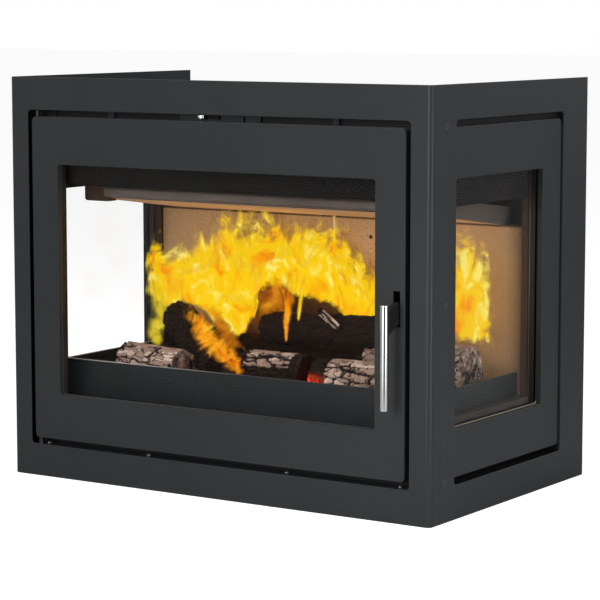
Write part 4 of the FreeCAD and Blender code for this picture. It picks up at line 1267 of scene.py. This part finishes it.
@dataclass
class Firewood(Assembly):
    """Split logs with cracked bark, stacked on the hearth."""

    around: int = 150
    ring: float = 1.4
    end_rings: int = 18
    end_share: float = 0.95
    plate_wide: float = 9.0
    plate_long: float = 16.0
    crack_depth: float = 2.2
    fissure_depth: float = 3.6
    end_rough: float = 1.2
    seed_steps: Point = (1.37, 0.71, 2.13)
    bark_seed: int = 7

    def build(self) -> list[Object]:
        """Model every log and let them stand for the plain solids."""
        noise.seed_set(self.bark_seed)
        return [self.enter(self.log(spec), Finishes.BARK, "root", "firewood", "firewood") for spec in LOGS]

    def log(self, spec: LogSpec) -> Object:
        """One log: a cylinder cut into rings, then shaped and placed.

        Args:
            spec: The log's ends, size and state.

        Returns:
            The log, with its relief, tint, char and ember marks on the mesh.
        """
        start, end = at(*spec.start), at(*spec.end)
        length = (end - start).length
        piece = Bench.cylinder(spec.name, self.around, spec.radius * MM, length)
        Bench.pick(piece, Element.EDGE, lambda a, b: abs(a.z - b.z) > length / 2)
        bpy.ops.mesh.subdivide(number_cuts=int(length / (self.ring * MM)))
        for _ in range(self.end_rings):
            Bench.pick(piece, Element.FACE,
                       lambda centre, normal: abs(normal.z) > 0.9 and centre.xy.length < 0.1 * MM)
            bpy.ops.mesh.inset(thickness=spec.radius * MM * self.end_share / self.end_rings)
        bpy.ops.object.mode_set(mode="OBJECT")
        turn = (end - start).normalized().to_track_quat("Z", "Y").to_matrix()
        self.shape(piece, spec, length, turn)
        piece.data.transform(Matrix.Translation((start + end) / 2) @ turn.to_4x4())
        Bench.done(piece, 60.0)
        return piece

    def shape(self, piece: Object, spec: LogSpec, length: float, turn: Matrix) -> None:
        """Move the points into an uneven trunk with plates of bark, and store the marks.

        Args:
            piece: Straight cylinder along Z.
            spec: The log's size and state.
            length: Length of the log in metres.
            turn: Rotation that will lay the log down.
        """
        mesh = piece.data
        radius = spec.radius * MM
        for name in BARK_MARKS:
            mesh.attributes.new(name, "FLOAT", "POINT")
        marks = [mesh.attributes[name].data for name in BARK_MARKS]
        offset = Vector([spec.seed * step for step in self.seed_steps])
        for vertex in mesh.vertices:
            place = vertex.co.copy()
            share = place.z / length + 0.5
            reach = place.xy.length / radius
            outward = Vector((place.x, place.y, 0.0)).normalized()
            wide = noise.noise(Vector((outward.x * 0.8, outward.y * 0.8, share * 1.5)) + offset)
            if reach > 0.98:
                rim = outward * radius
                sample = Vector((rim.x / self.plate_wide, rim.y / self.plate_wide,
                                 place.z / self.plate_long)) / MM
                skin = self.bark(spec, sample + offset, share, wide)
            else:
                face = Vector((place.x / self.plate_wide, place.y / self.plate_long, 0.0)) / MM
                skin = self.cut_wood(spec, face + offset, share, wide * reach)
            vertex.co = (place.x * skin.scale, place.y * skin.scale, place.z + skin.rise)
            upward = (turn @ outward).z
            hot = ease(1.0 - share / spec.ember_start) if spec.ember_start else 0.0
            burnt = self.char(spec, share, upward) + 0.2 * skin.rough
            values = (skin.relief, noise.cell(skin.cell * 3.1), burnt, hot * ease(0.55 - upward))
            for mark, value in zip(marks, values):
                mark[vertex.index].value = value
        mesh.update()

    def bark(self, spec: LogSpec, sample: Vector, share: float, wide: float) -> Skin:
        """Bark in plates, with fine cracks between them and deep fissures along the log.

        Args:
            spec: The log's size and state.
            sample: Place on the skin, in plates.
            share: Share of the log's length.
            wide: Unevenness of the trunk, from -1 to 1.

        Returns:
            The bark there.
        """
        warped = sample + noise.noise_vector(sample * 0.8) * 0.45 + noise.noise_vector(sample * 2.6) * 0.16
        near, cells = noise.voronoi(warped)
        plate = ease((near[1] - near[0]) / (0.16 + 0.12 * noise.noise(sample * 0.6)))
        deep = noise.voronoi(Vector((warped.x * 0.42, warped.y * 0.42, warped.z * 0.26)))[0]
        ridge = ease((deep[1] - deep[0]) / 0.16)
        rough = noise.fractal(sample * 2.2, 1.0, 2.0, 4)
        step = math.floor(2.0 * (noise.noise(sample * 0.9 + Vector((7, 3, 1))) + 1.0)) / 4.0
        cut = (self.crack_depth * (1 - plate) + self.fissure_depth * (1 - ridge)) / spec.radius
        scale = 0.9 + 0.05 * wide - spec.taper * share - cut + 0.02 * step + 0.012 * rough
        return Skin(scale, min(plate, ridge), rough, cells[0])

    def cut_wood(self, spec: LogSpec, face: Vector, share: float, wide: float) -> Skin:
        """Rough cut end with splits in it.

        Args:
            spec: The log's size and state.
            face: Place on the cut end, in plates.
            share: Share of the log's length, 0 or 1.
            wide: Unevenness of the trunk, less towards the middle of the end.

        Returns:
            The cut wood there.
        """
        rough = noise.fractal(face * 1.8, 1.0, 2.0, 4)
        splits, cells = noise.voronoi(face + noise.noise_vector(face * 1.6) * 0.3)
        rise = self.end_rough * MM * rough * (1 if share > 0.5 else -1)
        scale = 0.88 - spec.taper * share + 0.04 * wide
        return Skin(scale, ease((splits[1] - splits[0]) / 0.12), rough, cells[0], rise)

    @staticmethod
    def char(spec: LogSpec, share: float, upward: float) -> float:
        """How far a point is charred, by its log's state and towards its charred ends.

        Args:
            spec: The log's size and state.
            share: Share of the log's length.
            upward: How far the skin faces up, from -1 to 1.

        Returns:
            The char, from 0 to 1.
        """
        burnt = spec.burn.value
        if spec.burn is Burn.SINGED:
            burnt = 0.8 - 0.9 * ease((upward - 0.3) / 0.4)
        return max(burnt, ease((spec.char_start - share) / 0.06 + 0.5),
                   ease((spec.char_end - 1.0 + share) / 0.06 + 0.5))


@dataclass(frozen=True)
class SheetSpec:
    """A sheet of flame: its track as (x, depth), and its foot and crest as (x, height) along that track."""

    name: str
    track: tuple[Pair, ...]
    foot: tuple[Pair, ...]
    crest: tuple[Pair, ...]
    finish: FlameLight
    seed: int


SHEETS = (
    SheetSpec("flames_back",
              ((-284, 222), (-236, 262), (-170, 292), (-80, 306), (30, 308), (130, 302), (230, 288),
               (330, 268)),
              ((-283, 262), (-262, 240), (-241, 250), (-217, 240), (-191, 218), (-169, 212), (-150, 200),
               (-132, 216), (-113, 240), (-76, 255), (-44, 255), (-5, 245), (26, 235), (91, 224), (200, 222),
               (330, 222)),
              ((-282, 352), (-269, 374), (-258, 346), (-240, 358), (-222, 380), (-197, 382), (-181, 402),
               (-154, 405), (-131, 402), (-106, 405), (-87, 402), (-64, 396), (-48, 404), (-28, 400),
               (-9, 405), (7, 405), (26, 402), (48, 394), (61, 356), (75, 372), (91, 334), (150, 352),
               (210, 380), (262, 388), (284, 402), (302, 380), (318, 388), (330, 344)), Finishes.FLAME, 4),
    SheetSpec("flames_front",
              ((-230, 240), (-150, 268), (-80, 282), (0, 286), (60, 284), (120, 276)),
              ((-228, 252), (-202, 244), (-175, 224), (-152, 216), (-130, 202), (-112, 228), (-76, 262),
               (-30, 266), (9, 252), (61, 240), (118, 236)),
              ((-228, 316), (-201, 326), (-174, 346), (-148, 362), (-126, 344), (-105, 322), (-76, 342),
               (-45, 362), (-22, 334), (9, 372), (37, 344), (61, 316), (118, 280)), Finishes.FLAME, 17),
    SheetSpec("flames_middle",
              ((-152, 226), (-122, 228), (-88, 234)),
              ((-152, 246), (-134, 214), (-116, 204), (-102, 212), (-88, 240)),
              ((-152, 268), (-136, 284), (-118, 290), (-100, 278), (-88, 262)), Finishes.FLAME, 23),
    # Dark sheet between the logs: charred wood and painted shade.
    SheetSpec("smoulder_between_logs",
              ((-128, 274), (-70, 276), (0, 276), (76, 270)),
              ((-128, 190), (76, 200)),
              ((-128, 222), (-106, 272), (-84, 294), (-54, 298), (-30, 284), (-3, 282), (29, 276), (50, 268),
               (76, 240)), Finishes.CHAR_AND_SHADE, 9),
)


class Streak(Enum):
    """How a streak's width changes along it."""

    SPINDLE = "narrow at both ends"
    FAN = "widening as it rises"


@dataclass(frozen=True)
class RibbonSpec:
    """A streak of flame along some (x, depth, z) points, with its greatest width and its finish."""

    name: str
    track: tuple[Point, ...]
    width: float
    streak: Streak
    finish: FlameLight
    seed: int


RIBBONS = (
    RibbonSpec("flare_on_log",
               ((-2, 84, 173), (-40, 100, 197), (-86, 124, 220), (-132, 152, 241), (-180, 184, 268)),
               48.0, Streak.SPINDLE, Finishes.FLARE, 3),
    RibbonSpec("flare_beside_log", ((-36, 128, 183), (-61, 146, 209), (-93, 166, 234), (-132, 188, 266)),
               34.0, Streak.SPINDLE, Finishes.DULL, 5),
    RibbonSpec("flare_upright", ((15, 178, 212), (17, 178, 250), (21, 178, 286), (27, 178, 332)), 30.0,
               Streak.FAN, Finishes.FLARE, 7),
    RibbonSpec("flare_upright_thin", ((40, 178, 248), (42, 178, 271), (45, 178, 297), (50, 178, 326)), 12.0,
               Streak.SPINDLE, Finishes.SPARK, 8),
    RibbonSpec("flare_wide", ((-56, 240, 212), (-52, 240, 245), (-48, 240, 275), (-44, 240, 312)), 66.0,
               Streak.SPINDLE, Finishes.DULL, 12),
    RibbonSpec("flame_left_tail", ((-246, 204, 184), (-258, 212, 214), (-256, 219, 246), (-264, 228, 300)),
               40.0, Streak.SPINDLE, Finishes.HAZE, 14),
)


@dataclass
class Fire(Assembly):
    """Flames that rise from the logs as thin waving sheets and streaks."""

    columns: int = 220
    streak_columns: int = 12
    rows: int = 48
    sway: float = 10.0
    lean: float = 10.0
    facing: Point = (0.5, -0.85, 0.15)
    smooth_all: float = 180.0

    def build(self) -> list[Object]:
        """Model every sheet and streak of flame.

        Returns:
            The sheets, then the streaks.
        """
        sheets = [self.enter(self.sheet(spec), spec.finish, "root", "firewood") for spec in SHEETS]
        streaks = [self.enter(self.ribbon(spec), spec.finish, "root", "firewood") for spec in RIBBONS]
        return sheets + streaks

    def grid(self, name: str, columns: int) -> Object:
        """Flat grid with a UV map, from -0.5 to 0.5 each way.

        Args:
            name: Name of the piece.
            columns: Number of cells across.

        Returns:
            The grid.
        """
        Bench.clear()
        bpy.ops.mesh.primitive_grid_add(x_subdivisions=columns, y_subdivisions=self.rows, size=1.0)
        return Bench.take(name)

    def sheet(self, spec: SheetSpec) -> Object:
        """One sheet: a grid pulled up into tongues that lean and wave.

        Args:
            spec: Where the sheet stands, and its foot and crest.

        Returns:
            The sheet of flame.
        """
        piece = self.grid(spec.name, self.columns)
        track = [Vector((x, depth, 0.0)) for x, depth in spec.track]
        for vertex in piece.data.vertices:
            share, climb = vertex.co.x + 0.5, vertex.co.y + 0.5
            stand = self.along(track, share)
            low, high = self.level(spec.foot, stand.x), self.level(spec.crest, stand.x)
            drift = noise.noise(Vector((stand.x / 45, climb * 2.2, spec.seed)))
            lean = noise.noise(Vector((stand.x / 60, climb * 1.6, spec.seed + 20)))
            vertex.co = at(stand.x + self.lean * climb * lean, stand.y + self.sway * drift,
                           low + (high - low) * climb)
        Bench.done(piece, self.smooth_all)
        return piece

    def ribbon(self, spec: RibbonSpec) -> Object:
        """One streak: a strip that follows its track, narrow at both ends or widening.

        Args:
            spec: The streak's track and width.

        Returns:
            The streak of flame.
        """
        piece = self.grid(spec.name, self.streak_columns)
        track = [Vector(point) for point in spec.track]
        for vertex in piece.data.vertices:
            across, climb = vertex.co.x, vertex.co.y + 0.5
            place = self.along(track, climb)
            ahead = self.along(track, min(1.0, climb + 0.02)) - self.along(track, max(0.0, climb - 0.02))
            side = ahead.cross(Vector(self.facing)).normalized()
            width = spec.width * (0.08 + 0.92 * climb ** 0.8)
            if spec.streak is Streak.SPINDLE:
                width = spec.width * (0.2 + 0.8 * math.sin(math.pi * climb) ** 0.8)
            wave = noise.noise(Vector((climb * 3.0, spec.seed, 0.0))) * spec.width * 0.25
            vertex.co = at(*(place + side * (across * width + wave)))
        Bench.done(piece, self.smooth_all)
        return piece

    @staticmethod
    def level(line: Sequence[Pair], x: float) -> float:
        """Height of a line of (x, height) points at some x, eased between the points.

        Args:
            line: Points from left to right.
            x: Where the height is wanted.

        Returns:
            The height in millimetres.
        """
        if x <= line[0][0]:
            return line[0][1]
        for (left, low), (right, high) in zip(line, line[1:]):
            if x <= right:
                return low + (high - low) * ease((x - left) / (right - left))
        return line[-1][1]

    @staticmethod
    def along(track: Sequence[Vector], share: float) -> Vector:
        """Point on a smooth curve through a track.

        Args:
            track: Points that the curve passes through.
            share: Share of its spans, from 0 to 1.

        Returns:
            The point.
        """
        last = len(track) - 1
        span = min(int(share * last), last - 1)
        t = share * last - span
        a, b = track[max(0, span - 1)], track[span]
        c, d = track[span + 1], track[min(last, span + 2)]
        square = (2 * a - 5 * b + 4 * c - d) * t ** 2
        cube = (3 * b - a - 3 * c + d) * t ** 3
        return 0.5 * (2 * b + (c - a) * t + square + cube)


@dataclass(frozen=True)
class LampSpec:
    """An area lamp: its place, the point that it faces, its width, height and power."""

    name: str
    place: Point
    target: Point
    width: float
    height: float
    power: float


@dataclass
class Studio:
    """Camera, lamps, floor and the pale background."""

    place: Point = (2.04301, -3.07616, 0.72587)
    azimuth: float = 33.378
    pitch: float = 6.950
    focal_pixels: float = 2400.85
    floor_reach: float = 30.0
    ambient: float = 0.35
    lamp_specs: tuple[LampSpec, ...] = (
        LampSpec("soft_box_front", (0.2, -3.0, 0.95), (0.1, -0.2, 0.3), 1.0, 1.2, 43.0),
        LampSpec("soft_box_right", (3.1, -0.45, 0.85), (0.3, 0.0, 0.3), 1.2, 1.3, 10.0),
        LampSpec("soft_box_top", (0.0, -0.3, 2.6), (0.0, 0.0, 0.3), 2.0, 1.6, 30.0),
        LampSpec("strip_left", (0.21, -1.15, 0.31), (0.32, -0.25, 0.25), 0.24, 0.6, 1.0),
        LampSpec("strip_right", (1.20, -0.44, 0.31), (0.32, -0.25, 0.25), 0.26, 0.6, 2.4),
        LampSpec("bar_light_left", (0.26, -0.76, 0.24), (0.32, -0.25, 0.24), 0.18, 0.46, 0.36),
        LampSpec("bar_light_right", (0.83, -0.35, 0.24), (0.32, -0.25, 0.24), 0.18, 0.46, 0.36),
    )
    card_reach: float = 0.42
    card_size: Pair = (0.20, 0.6)
    fire_places: tuple[Point, ...] = ((-190, 240, 300), (-40, 262, 320), (200, 240, 310))
    fire_power: float = 0.34
    fire_colour: Colour = (1.0, 0.68, 0.33)
    fire_radius: float = 0.03

    def build(self) -> None:
        """Set up everything that isn't part of the object."""
        self.camera()
        self.floor()
        self.world()
        self.lamps()
        self.card()
        bpy.context.scene.view_settings.view_transform = "Standard"

    def camera(self) -> None:
        """Camera at the photograph's viewpoint."""
        data = bpy.data.cameras.new("camera")
        data.sensor_width = SENSOR_MM
        data.lens = self.focal_pixels * SENSOR_MM / IMAGE_PIXELS
        camera = bpy.data.objects.new("camera", data)
        bpy.context.scene.collection.objects.link(camera)
        camera.location = self.place
        camera.rotation_euler = (math.radians(90.0 - self.pitch), 0.0, math.radians(self.azimuth))
        bpy.context.scene.camera = camera

    def floor(self) -> None:
        """Pale floor that keeps the object's shadow."""
        Bench.clear()
        bpy.ops.mesh.primitive_plane_add(size=2 * self.floor_reach)
        floor = Bench.take("floor")
        Finishes.FLOOR.dress(floor)

    def world(self) -> None:
        """White background for the camera, metal and glass; soft light for the rest."""
        world = bpy.data.worlds.new("studio")
        bpy.context.scene.world = world
        world.use_nodes = True
        tree = Tree(world.node_tree)
        seen = tree.feed(world.node_tree.nodes["Background"], Color=WHITE, Strength=1.0)
        soft = tree.feed(tree.add("Background"), Color=WHITE, Strength=self.ambient)
        path = tree.add("LightPath").outputs
        direct = tree.maths("MAXIMUM", path["Is Camera Ray"], path["Is Transmission Ray"])
        direct = tree.maths("MAXIMUM", direct, path["Is Glossy Ray"])
        light = tree.choose(direct, soft.outputs["Background"], seen.outputs["Background"])
        tree.feed(world.node_tree.nodes["World Output"], Surface=light)

    def card(self) -> None:
        """Dark card between the soft boxes, seen only as a dark line in the polished bar and the bends."""
        turn = math.radians(self.azimuth)
        low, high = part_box("handle_bar")
        middle = (low + high) / 2
        Bench.clear()
        bpy.ops.mesh.primitive_plane_add(size=1.0, rotation=(math.pi / 2, 0.0, turn))
        card = Bench.take("dark_card")
        card.scale = (*self.card_size, 1.0)
        card.location = (middle.x + self.card_reach * math.sin(turn),
                         middle.y - self.card_reach * math.cos(turn), self.card_size[1] / 2)
        Bench.settle(card)
        Finishes.CARD.dress(card)
        card.visible_camera = False
        card.visible_diffuse = False
        card.visible_transmission = False
        card.visible_shadow = False

    def lamps(self) -> None:
        """Soft boxes and strip lights round the object, and the glow of the fire."""
        for spec in self.lamp_specs:
            lamp = bpy.data.lights.new(spec.name, "AREA")
            lamp.shape = "RECTANGLE"
            lamp.size = spec.width
            lamp.size_y = spec.height
            lamp.energy = spec.power
            aim = Vector(spec.target) - Vector(spec.place)
            self.hang(lamp, Vector(spec.place)).rotation_euler = aim.to_track_quat("-Z", "Y").to_euler()
        for index, place in enumerate(self.fire_places):
            lamp = bpy.data.lights.new("fire_glow_%d" % index, "POINT")
            lamp.color = self.fire_colour
            lamp.energy = self.fire_power
            lamp.shadow_soft_size = self.fire_radius
            self.hang(lamp, at(*place)).visible_glossy = False

    @staticmethod
    def hang(lamp: Light, place: Vector) -> Object:
        """Put a lamp in its place, out of sight of the camera and of the glass.

        Args:
            lamp: The lamp.
            place: Where it hangs.

        Returns:
            The object that holds it.
        """
        holder = bpy.data.objects.new(lamp.name, lamp)
        bpy.context.scene.collection.objects.link(holder)
        holder.location = place
        holder.visible_camera = False
        holder.visible_transmission = False
        return holder


def dress_frame() -> None:
    """Give every node of the frame the finish of its material slot."""
    for row in frame["record"]["subparts"]:
        Finishes.BY_SLOT[row["material_slot"]].dress(frame["nodes"][row["node"]])


def main() -> None:
    """Build the object's pieces in order, then the studio round them."""
    logging.basicConfig(level=logging.INFO, format="%(message)s")
    dress_frame()
    assemblies = (Casing(), Handle(), AirControl(), Fasteners(), DoorSeal(), Firebox(), Firewood(), Fire())
    for assembly in assemblies:
        assembly.dress()
        for piece in assembly.build():
            LOG.info("%s: %d faces", piece.name, len(piece.data.polygons))
    Studio().build()


if __name__ == "__main__":
    main()
